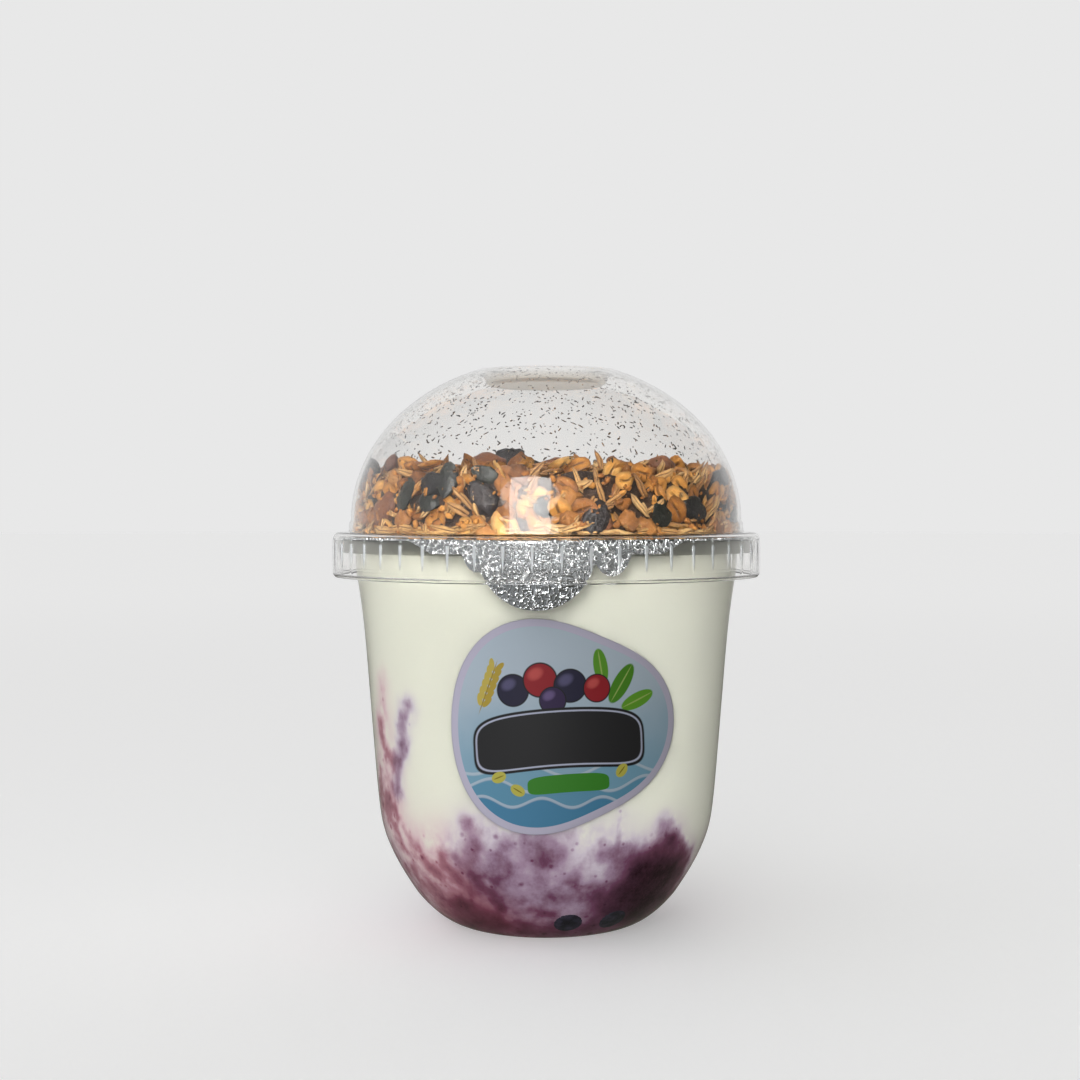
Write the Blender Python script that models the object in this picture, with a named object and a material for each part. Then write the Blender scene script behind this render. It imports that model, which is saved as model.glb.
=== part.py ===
"""A yogurt parfait to take away, in metres with +Z up.

A clear round-bottomed cup holds yogurt over berry compote. Embossed foil with a pull tab
seals its rim. A clear dome lid snaps over the rim and holds granola on top of the foil.
The origin is the centre of the cup's base, and the front, with label and tab, faces -Y.
"""

import math
import random

import bmesh
import bpy
from mathutils import Matrix, Vector

# Driving dimensions
SEGMENTS = 36
GAP = 0.0003
CUP_WALL = 0.0006
LID_WALL = 0.0006
FOIL_THICKNESS = 0.0003
LABEL_THICKNESS = 0.0003

FOOT_RADIUS = 0.0206
FOOT_RING_WIDTH = 0.0031
FOOT_MARGIN = 0.0010
PUSH_UP_HEIGHT = 0.0012
BOWL_RADIUS = 0.0379
BOWL_HEIGHT = 0.0226
BOWL_EXPONENT = 1.515
BOWL_STEPS = 6
WAIST_RADIUS = 0.0410
WAIST_HEIGHT = 0.0615
FLARE_SHARES = (0.0, 0.5, 1.0)
FLARE_EXPONENT = 1.5
NECK_FOOT_RADIUS = 0.0434
NECK_FOOT_HEIGHT = 0.0795
NECK_RADIUS = 0.0437
RIM_RADIUS = 0.0467
RIM_HEIGHT = 0.0863
RIM_DEPTH = 0.0029

FOIL_TOP = RIM_HEIGHT + GAP + FOIL_THICKNESS
FOIL_RADIUS = RIM_RADIUS + GAP
FOIL_FOLD_DEPTH = 0.0026
TAB_RADIUS = 0.0119
TAB_SHIFT = -0.0022
TAB_ROOT_DROP = 0.0024
TAB_LEAN = 0.09
TAB_LEAN_START = 0.0060
# Each shoulder beside the tab: its middle from the front, half its width and its depth
SHOULDERS = ((-0.0142, 0.0036, 0.0066), (0.0132, 0.0045, 0.0074))
FOLD_REACH = 0.0300
FOLD_TAPER = 0.0055
FOLD_END_DEPTH = 0.0004
FOLD_COLUMNS = 40
FOLD_ROWS = 3
WELD_OVERLAP = 0.00005

SKIRT_RADIUS = 0.0486
SKIRT_BOTTOM = 0.0778
HEM_TUCK = 0.0004
SHOULDER = 0.0009
FLANGE_TOP = FOIL_TOP + GAP + LID_WALL
COLLAR_RADIUS = 0.0449
COLLAR_TOP = 0.0898
DOME_RADIUS = 0.0445
DOME_FOOT = 0.0905
DOME_HALF_HEIGHT = 0.0366
DOME_TOP = 0.1246
DOME_STEPS = 7
RECESS_RADIUS = 0.0132
RECESS_SLANT = 0.0009
RECESS_DEPTH = 0.0024

FILL_HEIGHT = 0.0806
SURFACE_DIP = 0.0003
WALL_STEPS = 4
SURFACE_SHARES = (0.4, 0.8)
FACE_SHARES = (0.85, 0.6, 0.3)
LAYER_GAP = 0.0005
COMPOTE_CENTRE_HEIGHT = 0.0090
COMPOTE_EDGE_HEIGHT = 0.0104
# Each swell's side in degrees from the front, its width in degrees and its rise
COMPOTE_SWELLS = (
    (40, 14, 0.0135),
    (57, 9, 0.0075),
    (-40, 22, 0.0030),
    (-128, 24, 0.0090),
    (146, 28, 0.0060),
)
COMPOTE_RIPPLE = 0.0007
COMPOTE_SWIRL = 0.0040
BERRY_RADIUS = 0.0040
BERRY_SIDES = 12
CROWN_DIRECTION = Vector((0.0, -0.64, 0.77)).normalized()
CROWN_DEPTH = 0.0011
# Each berry's side in degrees from the front, and the height where it meets the wall
BERRIES = (("blueberry_middle", 9.5, 0.0059), ("blueberry_right", 31, 0.0057))

LABEL_HALF_WIDTH = 0.0250
LABEL_HALF_HEIGHT = 0.0218
LABEL_CENTRE_HEIGHT = 0.0482
LABEL_SHIFT = 0.0026
LABEL_WAVE = 0.0017
LABEL_POINTS = 32
LABEL_RING_SHARES = (0.25, 0.5, 0.75, 1.0)

GRANOLA_HEIGHT = 0.0128
GRANOLA_CROWN = 0.0018
GRANOLA_UNEVEN = 0.0008
GRANOLA_SKIN = 0.0010
GRANOLA_SEED = 11
CORE_SIDE_SHARES = (0.0, 0.75)
CORE_TOP_SHARES = (0.95, 0.65, 0.32)
WALL_ROWS = 3
WALL_ROW_HEIGHT = 0.0047
WALL_COLUMNS = 18
# Rings of pieces on top of the heap: each one's radius and how many pieces it has
TOP_RINGS = ((0.0385, 20), (0.0300, 14), (0.0205, 10), (0.0110, 6), (0.0, 1))
# What the granola is made of: how common each kind is, its size and its number of sides
GRANOLA_KINDS = (
    {"name": "flake", "share": 9, "size": (0.0086, 0.0062, 0.0021), "sides": 7},
    {"name": "grain", "share": 4, "size": (0.0092, 0.0032, 0.0025), "sides": 5},
    {"name": "seed", "share": 2, "size": (0.0125, 0.0068, 0.0031), "sides": 7},
    {"name": "raisin", "share": 2, "size": (0.0108, 0.0078, 0.0062), "sides": 7},
    {"name": "nut", "share": 3, "size": (0.0098, 0.0082, 0.0062), "sides": 7},
)


def clear_scene():
    """An empty scene to model in."""
    for thing in list(bpy.data.objects):
        bpy.data.objects.remove(thing)


def finish_material(name, colour, roughness, metallic=0.0, transmission=0.0):
    """A Principled material in the part's own colour."""
    material = bpy.data.materials.new(name)
    material.use_nodes = True
    shader = material.node_tree.nodes["Principled BSDF"]
    shader.inputs["Base Color"].default_value = (*colour, 1.0)
    shader.inputs["Roughness"].default_value = roughness
    shader.inputs["Metallic"].default_value = metallic
    shader.inputs["Transmission Weight"].default_value = transmission
    return material


def object_from(name, mesh_builder, material, collection=None):
    """An object whose mesh is what the bmesh holds, with its faces pointing out."""
    bmesh.ops.recalc_face_normals(mesh_builder, faces=mesh_builder.faces)
    mesh = bpy.data.meshes.new(name)
    mesh_builder.to_mesh(mesh)
    mesh_builder.free()
    mesh.materials.append(material)
    mesh.shade_smooth()
    mesh.set_sharp_from_angle(angle=math.radians(35))
    thing = bpy.data.objects.new(name, mesh)
    (collection or bpy.context.scene.collection).objects.link(thing)
    return thing


def offset_path(path, distance):
    """The path moved to the left of its direction of travel. Points on the axis stay on it."""
    moved = []
    for index, point in enumerate(path):
        here = Vector(point)
        sides = []
        for start, end in ((index - 1, index), (index, index + 1)):
            if start >= 0 and end < len(path):
                along = (Vector(path[end]) - Vector(path[start])).normalized()
                sides.append(Vector((-along.y, along.x)))
        normal = sum(sides, Vector((0, 0))).normalized()
        reach = distance / normal.dot(sides[0])
        place = here + normal * reach
        moved.append((0.0, here.y + sides[0].y * distance) if here.x == 0 else tuple(place))
    return moved


def turn(name, section, material):
    """A solid turned about Z from an open section that starts and ends on the axis."""
    builder = bmesh.new()
    points = [builder.verts.new((radius, 0, height)) for radius, height in section]
    edges = [builder.edges.new(pair) for pair in zip(points, points[1:])]
    bmesh.ops.spin(
        builder,
        geom=points + edges,
        cent=(0, 0, 0),
        axis=(0, 0, 1),
        angle=math.tau,
        steps=SEGMENTS,
        use_merge=True,
    )
    bmesh.ops.remove_doubles(builder, verts=builder.verts, dist=1e-6)
    return object_from(name, builder, material)


def weave(name, rows, material, collection=None):
    """A closed solid from rings of points. Its first and last rows are single points."""
    builder = bmesh.new()
    rings = [[builder.verts.new(point) for point in row] for row in rows]
    for lower, upper in zip(rings, rings[1:]):
        count = max(len(lower), len(upper))
        for place in range(count):
            after = (place + 1) % count
            if len(lower) == 1:
                builder.faces.new((lower[0], upper[after], upper[place]))
            elif len(upper) == 1:
                builder.faces.new((lower[place], lower[after], upper[0]))
            else:
                builder.faces.new((lower[place], lower[after], upper[after], upper[place]))
    bmesh.ops.triangulate(builder, faces=builder.faces, quad_method="FIXED")
    return object_from(name, builder, material, collection)


def segment_angles():
    """The angle of each segment, about Z from +X, as the turned solids have them."""
    return [math.tau * index / SEGMENTS for index in range(SEGMENTS)]


def from_front(angle):
    """Degrees round from the front, positive to the right, for an angle about Z from +X."""
    return (math.degrees(angle) + 90 + 180) % 360 - 180


def around(angle, radius, height):
    """The point at that angle, radius and height."""
    return Vector((radius * math.cos(angle), radius * math.sin(angle), height))


def bump(value, centre, width):
    """A smooth bump of height 1."""
    return math.exp(-(((value - centre) / width) ** 2))


# The cup

def cup_outside():
    """The cup's outer side as (radius, height), from the axis under the base to the rim."""
    path = [
        (0.0, PUSH_UP_HEIGHT),
        (FOOT_RADIUS - FOOT_RING_WIDTH - PUSH_UP_HEIGHT, PUSH_UP_HEIGHT),
        (FOOT_RADIUS - FOOT_RING_WIDTH, 0.0),
    ]
    for step in range(BOWL_STEPS + 1):
        turned = math.pi / 2 * step / BOWL_STEPS
        path.append((
            FOOT_RADIUS + (BOWL_RADIUS - FOOT_RADIUS) * math.sin(turned) ** BOWL_EXPONENT,
            BOWL_HEIGHT * (1 - math.cos(turned) ** BOWL_EXPONENT),
        ))
    for share in FLARE_SHARES:
        path.append((
            WAIST_RADIUS + (NECK_FOOT_RADIUS - WAIST_RADIUS) * share ** FLARE_EXPONENT,
            WAIST_HEIGHT + (NECK_FOOT_HEIGHT - WAIST_HEIGHT) * share,
        ))
    path.append((NECK_RADIUS, RIM_HEIGHT - CUP_WALL))
    return path


def cup_inside():
    """The cup's inner side, from the axis of its floor to the top of the rim."""
    path = offset_path(cup_outside(), CUP_WALL)
    return path[:-1] + [(path[-1][0], RIM_HEIGHT)]


def fill_side():
    """The side of what fills the cup, just clear of the cup."""
    return offset_path(cup_inside(), GAP)


def radius_at(path, height):
    """The radius of a rising path at a height."""
    rising = [point for point in path if point[0] >= FOOT_RADIUS - FOOT_MARGIN]
    for (low_radius, low), (high_radius, high) in zip(rising, rising[1:]):
        if low <= height <= high:
            return low_radius + (high_radius - low_radius) * (height - low) / (high - low)
    return rising[-1][0] if height > rising[-1][1] else rising[0][0]


def make_cup(material):
    """Thin clear cup with a push-up in its base and a flange with a turned-down edge."""
    turned_down = [
        (RIM_RADIUS - CUP_WALL, RIM_HEIGHT - CUP_WALL),
        (RIM_RADIUS - CUP_WALL, RIM_HEIGHT - RIM_DEPTH),
        (RIM_RADIUS, RIM_HEIGHT - RIM_DEPTH),
        (RIM_RADIUS, RIM_HEIGHT),
    ]
    return turn("cup", cup_outside() + turned_down + cup_inside()[::-1], material)


# What fills the cup

def compote_edge(angle):
    """How high the compote stands at the wall: tallest front right, with lower swells."""
    side = from_front(angle)
    swells = sum(rise * bump(side, centre, width) for centre, width, rise in COMPOTE_SWELLS)
    return COMPOTE_EDGE_HEIGHT + swells + COMPOTE_RIPPLE * math.sin(5 * angle)


def compote_top(angle, share):
    """The height of the compote's upper face at a share of the way out to the wall."""
    rise = (compote_edge(angle) - COMPOTE_CENTRE_HEIGHT) * share**2
    swirl = COMPOTE_SWIRL * math.sin(3 * angle + 4 * share) * share * (1 - share)
    return COMPOTE_CENTRE_HEIGHT + rise + swirl


def wall_rows(start, edge):
    """Rings along the wall, from a start height to a height that goes by the angle."""
    side = fill_side()
    rows = []
    for step in range(WALL_STEPS + 1):
        row = []
        for angle in segment_angles():
            height = start + (edge(angle) - start) * step / WALL_STEPS
            row.append(around(angle, radius_at(side, height), height))
        rows.append(row)
    return rows


def face_rows(lift):
    """Rings of the face between compote and yogurt, from near the wall to the axis."""
    side = fill_side()
    rows = []
    for share in FACE_SHARES:
        row = []
        for angle in segment_angles():
            radius = radius_at(side, compote_edge(angle)) * share
            row.append(around(angle, radius, compote_top(angle, share) + lift))
        rows.append(row)
    return rows + [[Vector((0, 0, COMPOTE_CENTRE_HEIGHT + lift))]]


def make_compote(material):
    """Berry compote in the bottom of the cup, its upper face rising to the wall in swells."""
    side = fill_side()
    push_up = [point for point in side if point[0] < FOOT_RADIUS - FOOT_MARGIN]
    corner_height = side[len(push_up)][1]
    rows = [[Vector((0, 0, push_up[0][1]))]]
    for radius, height in push_up[1:]:
        rows.append([around(a, radius, height) for a in segment_angles()])
    rows += wall_rows(corner_height, compote_edge) + face_rows(0.0)
    return weave("berry_compote", rows, material)


def make_yogurt(material):
    """Yogurt from its level, just below the foil, down to the face of the compote."""
    side = fill_side()
    top_radius = radius_at(side, FILL_HEIGHT)
    rows = [[Vector((0, 0, FILL_HEIGHT - SURFACE_DIP))]]
    for share in SURFACE_SHARES:
        row = []
        for angle in segment_angles():
            dip = SURFACE_DIP * (1 + math.sin(2 * angle + 7 * share))
            row.append(around(angle, top_radius * share, FILL_HEIGHT - dip))
        rows.append(row)
    levels = [height for _, height in side if WAIST_HEIGHT < height + GAP < FILL_HEIGHT]
    for level in [FILL_HEIGHT] + levels[:0:-1]:
        rows.append([around(a, radius_at(side, level), level) for a in segment_angles()])
    rows += wall_rows(levels[0], lambda angle: compote_edge(angle) + LAYER_GAP)
    rows += face_rows(LAYER_GAP)
    return weave("yogurt", rows, material)


def berry_place(side, height):
    """The middle of a berry that touches the cup's wall at that side and height."""
    wall = fill_side()
    angle = math.radians(side - 90)
    probe = BERRY_RADIUS / 4
    run = radius_at(wall, height + probe) - radius_at(wall, height - probe)
    inward = Vector((-2 * probe, run)).normalized() * (BERRY_RADIUS + GAP)
    return around(angle, radius_at(wall, height) + inward.x, height + inward.y)


def ball(centre, radius):
    """A round ball with few sides, its pole where a berry has its crown."""
    builder = bmesh.new()
    bmesh.ops.create_uvsphere(
        builder,
        u_segments=BERRY_SIDES,
        v_segments=BERRY_SIDES * 2 // 3,
        radius=radius,
        matrix=Matrix.Translation(centre) @ CROWN_DIRECTION.to_track_quat("Z", "Y").to_matrix().to_4x4(),
    )
    return builder


def make_berry(name, centre, material):
    """A whole blueberry with the dimple of its crown."""
    builder = ball(centre, BERRY_RADIUS)
    crown = max(builder.verts, key=lambda vertex: (vertex.co - centre).dot(CROWN_DIRECTION))
    crown.co -= CROWN_DIRECTION * CROWN_DEPTH
    object_from(name, builder, material)


def cut_pocket(thing, centre):
    """Cuts the room that a berry takes up out of what it lies in."""
    cutter = object_from("pocket_cutter", ball(centre, BERRY_RADIUS + GAP), thing.data.materials[0])
    cutter.hide_render = True
    cutter.display_type = "WIRE"
    pocket = thing.modifiers.new("pocket", "BOOLEAN")
    pocket.operation = "DIFFERENCE"
    pocket.object = cutter


# The foil seal

def foil_drop(along):
    """How far the foil hangs below the rim at a distance along its edge from the front."""
    taper = max(0.0, min(1.0, (FOLD_REACH - abs(along)) / FOLD_TAPER))
    drops = [FOLD_END_DEPTH + FOIL_FOLD_DEPTH * taper]
    from_tab = along - TAB_SHIFT
    if abs(from_tab) < TAB_RADIUS:
        drops.append(TAB_ROOT_DROP + math.sqrt(TAB_RADIUS**2 - from_tab**2))
    for centre, half_width, depth in SHOULDERS:
        inside = 1 - ((along - centre) / half_width) ** 2
        if inside > 0:
            drops.append(depth * math.sqrt(inside))
    return max(drops)


def make_fold(material):
    """The foil's folded edge at the front, with its pull tab and shoulders, as a curved slab."""
    builder = bmesh.new()
    rings = []
    for row in range(FOLD_ROWS + 1):
        front, back = [], []
        for column in range(FOLD_COLUMNS + 1):
            along = FOLD_REACH * (2 * column / FOLD_COLUMNS - 1)
            angle = along / FOIL_RADIUS - math.pi / 2
            down = foil_drop(along) * row / FOLD_ROWS
            inner = FOIL_RADIUS - TAB_LEAN * max(0.0, down - TAB_LEAN_START)
            height = FOIL_TOP - WELD_OVERLAP - down
            outer = inner + FOIL_THICKNESS + WELD_OVERLAP
            front.append(builder.verts.new(around(angle, outer, height)))
            back.append(builder.verts.new(around(angle, inner, height)))
        rings.append(front + back[::-1])
    for upper, lower in zip(rings, rings[1:]):
        for place in range(len(upper)):
            after = (place + 1) % len(upper)
            builder.faces.new((upper[place], upper[after], lower[after], lower[place]))
    for ring in (rings[0], rings[-1]):
        for place in range(FOLD_COLUMNS):
            across = len(ring) - 1 - place
            builder.faces.new((ring[place], ring[place + 1], ring[across - 1], ring[across]))
    return object_from("foil_fold", builder, material)


def make_foil(material):
    """Foil disc on the rim, joined to its folded edge."""
    section = [
        (0.0, FOIL_TOP - FOIL_THICKNESS),
        (FOIL_RADIUS + FOIL_THICKNESS, FOIL_TOP - FOIL_THICKNESS),
        (FOIL_RADIUS + FOIL_THICKNESS, FOIL_TOP),
        (0.0, FOIL_TOP),
    ]
    disc = turn("foil_seal", section, material)
    fold = make_fold(material)
    fold.hide_render = True
    fold.display_type = "WIRE"
    join = disc.modifiers.new("fold", "BOOLEAN")
    join.operation = "UNION"
    join.object = fold


# The dome lid

def lid_outside():
    """The lid's outer side as (radius, height), from the skirt's edge to the axis on top."""
    path = [
        (SKIRT_RADIUS - HEM_TUCK, SKIRT_BOTTOM),
        (SKIRT_RADIUS, SKIRT_BOTTOM + 2 * HEM_TUCK),
        (SKIRT_RADIUS, FLANGE_TOP - SHOULDER),
        (SKIRT_RADIUS - SHOULDER / 3, FLANGE_TOP - SHOULDER / 3),
        (SKIRT_RADIUS - SHOULDER, FLANGE_TOP),
        (COLLAR_RADIUS + HEM_TUCK, FLANGE_TOP),
        (COLLAR_RADIUS, FLANGE_TOP + HEM_TUCK),
        (COLLAR_RADIUS, COLLAR_TOP),
    ]
    lip_angle = math.asin((DOME_TOP - DOME_FOOT) / DOME_HALF_HEIGHT)
    for step in range(DOME_STEPS + 1):
        angle = lip_angle * step / DOME_STEPS
        path.append((
            DOME_RADIUS * math.cos(angle),
            DOME_FOOT + DOME_HALF_HEIGHT * math.sin(angle),
        ))
    path += [
        (RECESS_RADIUS + RECESS_SLANT, DOME_TOP),
        (RECESS_RADIUS, DOME_TOP - RECESS_DEPTH),
        (0.0, DOME_TOP - RECESS_DEPTH),
    ]
    return path


def make_lid(material):
    """Clear dome lid: skirt round the rim, flange, upright collar, dome and a dished top."""
    outside = lid_outside()
    inside = offset_path(outside, LID_WALL)
    return turn("dome_lid", inside[::-1] + outside, material)


# The granola

def granola_limit(height):
    """The largest radius that granola may reach under the lid at a height."""
    inner = offset_path(lid_outside(), LID_WALL + GAP)
    rising = [point for point in inner if point[1] > FLANGE_TOP and point[0] > RECESS_RADIUS]
    rising.sort(key=lambda point: point[1])
    for (low_radius, low), (high_radius, high) in zip(rising, rising[1:]):
        if low <= height <= high:
            return low_radius + (high_radius - low_radius) * (height - low) / (high - low)
    return rising[0][0]


def granola_top(radius, angle):
    """The height of the heap's core, higher towards its middle and uneven all over."""
    out = radius / COLLAR_RADIUS
    crown = GRANOLA_CROWN * (1 - out**2)
    uneven = GRANOLA_UNEVEN * out * (math.sin(3 * angle + 9 * out) + math.sin(7 * angle) / 2)
    return FOIL_TOP + GAP + GRANOLA_HEIGHT + crown + uneven


def granola_piece(kind, place, lie, collection, material):
    """One flake, grain, seed, raisin or nut, as a ball with few sides that lies as told."""
    builder = bmesh.new()
    bmesh.ops.create_uvsphere(
        builder,
        u_segments=kind["sides"],
        v_segments=3,
        radius=0.5,
        matrix=Matrix.Translation(place) @ lie @ Matrix.Diagonal((*kind["size"], 1)),
    )
    for vertex in builder.verts:
        limit = granola_limit(vertex.co.z)
        radius = vertex.co.xy.length
        if radius > limit:
            vertex.co.xy *= limit / radius
        vertex.co.z = max(vertex.co.z, FOIL_TOP + GAP)
    return object_from("granola_piece", builder, material, collection)


def make_core(material):
    """The inside of the heap, as one lump a little smaller than the room under the lid."""
    floor = FOIL_TOP + GAP
    core_radius = COLLAR_RADIUS - LID_WALL - GAP - GRANOLA_SKIN
    angles = segment_angles()[::2]
    rows = [[Vector((0, 0, floor))]]
    for up in CORE_SIDE_SHARES:
        rows.append([around(a, core_radius, floor + GRANOLA_HEIGHT * up) for a in angles])
    for out in CORE_TOP_SHARES:
        radius = core_radius * out
        rows.append([around(a, radius, granola_top(radius, a)) for a in angles])
    rows.append([Vector((0, 0, granola_top(0.0, 0.0)))])
    return weave("granola", rows, material)


def line_wall(draw, bag, heap, material):
    """Rows of pieces that lie against the inside of the lid."""
    for row in range(WALL_ROWS):
        for column in range(WALL_COLUMNS):
            kind = draw.choice(bag)
            turned = column + 0.5 * (row % 2) + draw.uniform(-0.2, 0.2)
            angle = math.tau * turned / WALL_COLUMNS
            height = FOIL_TOP + GAP + WALL_ROW_HEIGHT * (row + 0.65 + draw.uniform(-0.12, 0.12))
            radius = granola_limit(height) - kind["size"][2] * 0.46
            lie = (
                Matrix.Rotation(angle + math.pi / 2, 4, "Z")
                @ Matrix.Rotation(math.pi / 2 + draw.uniform(-0.25, 0.25), 4, "X")
                @ Matrix.Rotation(draw.uniform(-1.3, 1.3), 4, "Z")
            )
            granola_piece(kind, around(angle, radius, height), lie, heap, material)


def cover_top(draw, bag, heap, material):
    """Rings of pieces that lie on top of the heap at all tilts."""
    for ring, count in TOP_RINGS:
        for place in range(count):
            kind = draw.choice(bag)
            angle = math.tau * (place + draw.uniform(-0.25, 0.25)) / count
            height = granola_top(ring, angle) + kind["size"][2] * draw.uniform(0.2, 0.3)
            lie = (
                Matrix.Rotation(draw.uniform(0, math.tau), 4, "Z")
                @ Matrix.Rotation(draw.uniform(-0.55, 0.55), 4, "X")
                @ Matrix.Rotation(draw.uniform(-0.45, 0.45), 4, "Y")
            )
            granola_piece(kind, around(angle, ring, height), lie, heap, material)


def make_granola(material):
    """A heap of granola on the foil: a core with the pieces that show fused on."""
    core = make_core(material)
    heap = bpy.data.collections.new("granola_pieces")
    bpy.context.scene.collection.children.link(heap)
    draw = random.Random(GRANOLA_SEED)
    bag = [kind for kind in GRANOLA_KINDS for _ in range(kind["share"])]
    line_wall(draw, bag, heap, material)
    cover_top(draw, bag, heap, material)

    join = core.modifiers.new("pieces", "BOOLEAN")
    join.operation = "UNION"
    join.operand_type = "COLLECTION"
    join.collection = heap
    join.solver = "MANIFOLD"
    bpy.context.view_layer.update()
    joined = bpy.data.meshes.new_from_object(core.evaluated_get(bpy.context.evaluated_depsgraph_get()))
    core.modifiers.clear()
    core.data = joined
    for piece in list(heap.objects):
        bpy.data.objects.remove(piece)
    bpy.data.collections.remove(heap)


# The label

def label_reach(turned):
    """The label's outline as a distance from its middle: an oval pebble with three bulges."""
    across = math.cos(turned) / LABEL_HALF_WIDTH
    up = math.sin(turned) / LABEL_HALF_HEIGHT
    return 1 / math.hypot(across, up) + LABEL_WAVE * math.cos(3 * turned)


def make_label(material):
    """Die-cut sticker that follows the front of the cup."""
    builder = bmesh.new()
    outside = cup_outside()

    def place(turned, share):
        reach = label_reach(turned) * share
        height = LABEL_CENTRE_HEIGHT + reach * math.sin(turned)
        radius = radius_at(outside, height) + GAP
        angle = (LABEL_SHIFT + reach * math.cos(turned)) / radius - math.pi / 2
        return builder.verts.new(around(angle, radius, height))

    centre = place(0.0, 0.0)
    rings = [
        [place(math.tau * index / LABEL_POINTS, share) for index in range(LABEL_POINTS)]
        for share in LABEL_RING_SHARES
    ]
    for index in range(LABEL_POINTS):
        after = (index + 1) % LABEL_POINTS
        builder.faces.new((centre, rings[0][index], rings[0][after]))
        for inner, outer in zip(rings, rings[1:]):
            builder.faces.new((inner[index], outer[index], outer[after], inner[after]))
    label = object_from("label", builder, material)
    thick = label.modifiers.new("thickness", "SOLIDIFY")
    thick.thickness = LABEL_THICKNESS
    thick.offset = 1.0


def build():
    """Makes every piece of the parfait."""
    clear_scene()
    clear_plastic = finish_material("clear_plastic", (0.93, 0.96, 0.95), 0.06, transmission=1.0)
    yogurt_white = finish_material("yogurt_white", (0.86, 0.85, 0.76), 0.45)
    compote_dark = finish_material("compote_dark", (0.10, 0.02, 0.05), 0.35)
    berry_blue = finish_material("berry_blue", (0.03, 0.03, 0.07), 0.5)
    silver_foil = finish_material("silver_foil", (0.80, 0.81, 0.82), 0.25, metallic=1.0)
    toasted_oat = finish_material("toasted_oat", (0.50, 0.26, 0.09), 0.6)
    print_blue = finish_material("print_blue", (0.62, 0.76, 0.87), 0.4)

    make_cup(clear_plastic)
    compote = make_compote(compote_dark)
    yogurt = make_yogurt(yogurt_white)
    for name, side, height in BERRIES:
        centre = berry_place(side, height)
        make_berry(name, centre, berry_blue)
        cut_pocket(compote, centre)
        cut_pocket(yogurt, centre)
    make_foil(silver_foil)
    make_granola(toasted_oat)
    make_lid(clear_plastic)
    make_label(print_blue)


build()
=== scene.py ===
import math
import random

import bpy
from mathutils import Matrix, Vector, noise


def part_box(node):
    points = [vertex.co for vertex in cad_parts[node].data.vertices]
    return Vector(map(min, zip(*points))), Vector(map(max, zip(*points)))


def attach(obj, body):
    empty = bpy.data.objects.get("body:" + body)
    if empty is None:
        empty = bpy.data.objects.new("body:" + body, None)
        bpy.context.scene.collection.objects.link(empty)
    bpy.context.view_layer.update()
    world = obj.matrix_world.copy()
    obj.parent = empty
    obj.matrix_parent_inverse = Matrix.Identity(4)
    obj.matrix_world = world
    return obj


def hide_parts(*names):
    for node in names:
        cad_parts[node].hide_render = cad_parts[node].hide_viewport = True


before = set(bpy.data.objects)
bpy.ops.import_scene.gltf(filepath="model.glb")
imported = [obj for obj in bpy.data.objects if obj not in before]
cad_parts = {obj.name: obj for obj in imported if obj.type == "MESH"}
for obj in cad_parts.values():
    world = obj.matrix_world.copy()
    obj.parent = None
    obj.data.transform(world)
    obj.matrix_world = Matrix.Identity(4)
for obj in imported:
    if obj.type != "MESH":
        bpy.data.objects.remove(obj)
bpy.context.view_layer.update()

# The cup is formed from clear PET, 0.6 mm thick. It stands on a narrow ring round a shallow
# push-up, widens in one round bowl and a slow flare, and its rim is turned over outwards.
CUP_WALL = .0006
FOOT_RADIUS, FOOT_RING_WIDTH, PUSH_UP_HEIGHT = .0206, .0031, .0012
BOWL_RADIUS, BOWL_HEIGHT, BOWL_WIDENING, BOWL_RISING, BOWL_STEPS = .0380, .0243, 1.296, 1.446, 24
WAIST_RADIUS, NECK_FOOT_RADIUS, NECK_FOOT_HEIGHT, FLARE_EXPONENT = .0410, .0434, .0795, 1.5
WAIST_HEIGHT, FLARE_STEPS = .0615, 8
SOFTENED_FROM, SOFTENINGS = .008, 14
NECK_RADIUS, RIM_RADIUS, RIM_HEIGHT, RIM_DEPTH = .0437, .0467, .0863, .0029
RIM_ROUNDING, FROSTED_FROM = .0007, .0832
CUP_COLUMNS, RIPPLE_HEIGHT = 192, .000006
SAME_PLACE = 1e-6
CREASE_ANGLE = math.radians(38)


def cup_outside():
    """The outside of the cup as (radius, height), from the middle of its base up to its rim."""
    foot = FOOT_RADIUS - FOOT_RING_WIDTH
    path = [(0, PUSH_UP_HEIGHT), (foot / 2, PUSH_UP_HEIGHT), (foot - PUSH_UP_HEIGHT, PUSH_UP_HEIGHT),
            (foot - PUSH_UP_HEIGHT / 4, PUSH_UP_HEIGHT / 4), (foot, 0)]
    for step in range(BOWL_STEPS + 1):
        turn = math.pi / 2 * step / BOWL_STEPS
        path.append((FOOT_RADIUS + (BOWL_RADIUS - FOOT_RADIUS) * math.sin(turn) ** BOWL_WIDENING,
                     BOWL_HEIGHT * (1 - max(math.cos(turn), 0) ** BOWL_RISING)))
    for step in range(1, FLARE_STEPS + 1):
        share = step / FLARE_STEPS
        path.append((BOWL_RADIUS + (WAIST_RADIUS - BOWL_RADIUS) * share,
                     BOWL_HEIGHT + (WAIST_HEIGHT - BOWL_HEIGHT) * share))
    for step in range(1, FLARE_STEPS + 1):
        share = step / FLARE_STEPS
        path.append((WAIST_RADIUS + (NECK_FOOT_RADIUS - WAIST_RADIUS) * share ** FLARE_EXPONENT,
                     WAIST_HEIGHT + (NECK_FOOT_HEIGHT - WAIST_HEIGHT) * share))
    for _ in range(SOFTENINGS):
        path = [path[0]] + [
            here if here[1] < SOFTENED_FROM
            else tuple((a + 2 * b + c) / 4 for a, b, c in zip(low, here, high))
            for low, here, high in zip(path, path[1:], path[2:])] + [path[-1]]
    return path + [(NECK_RADIUS, RIM_HEIGHT - CUP_WALL)]


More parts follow.
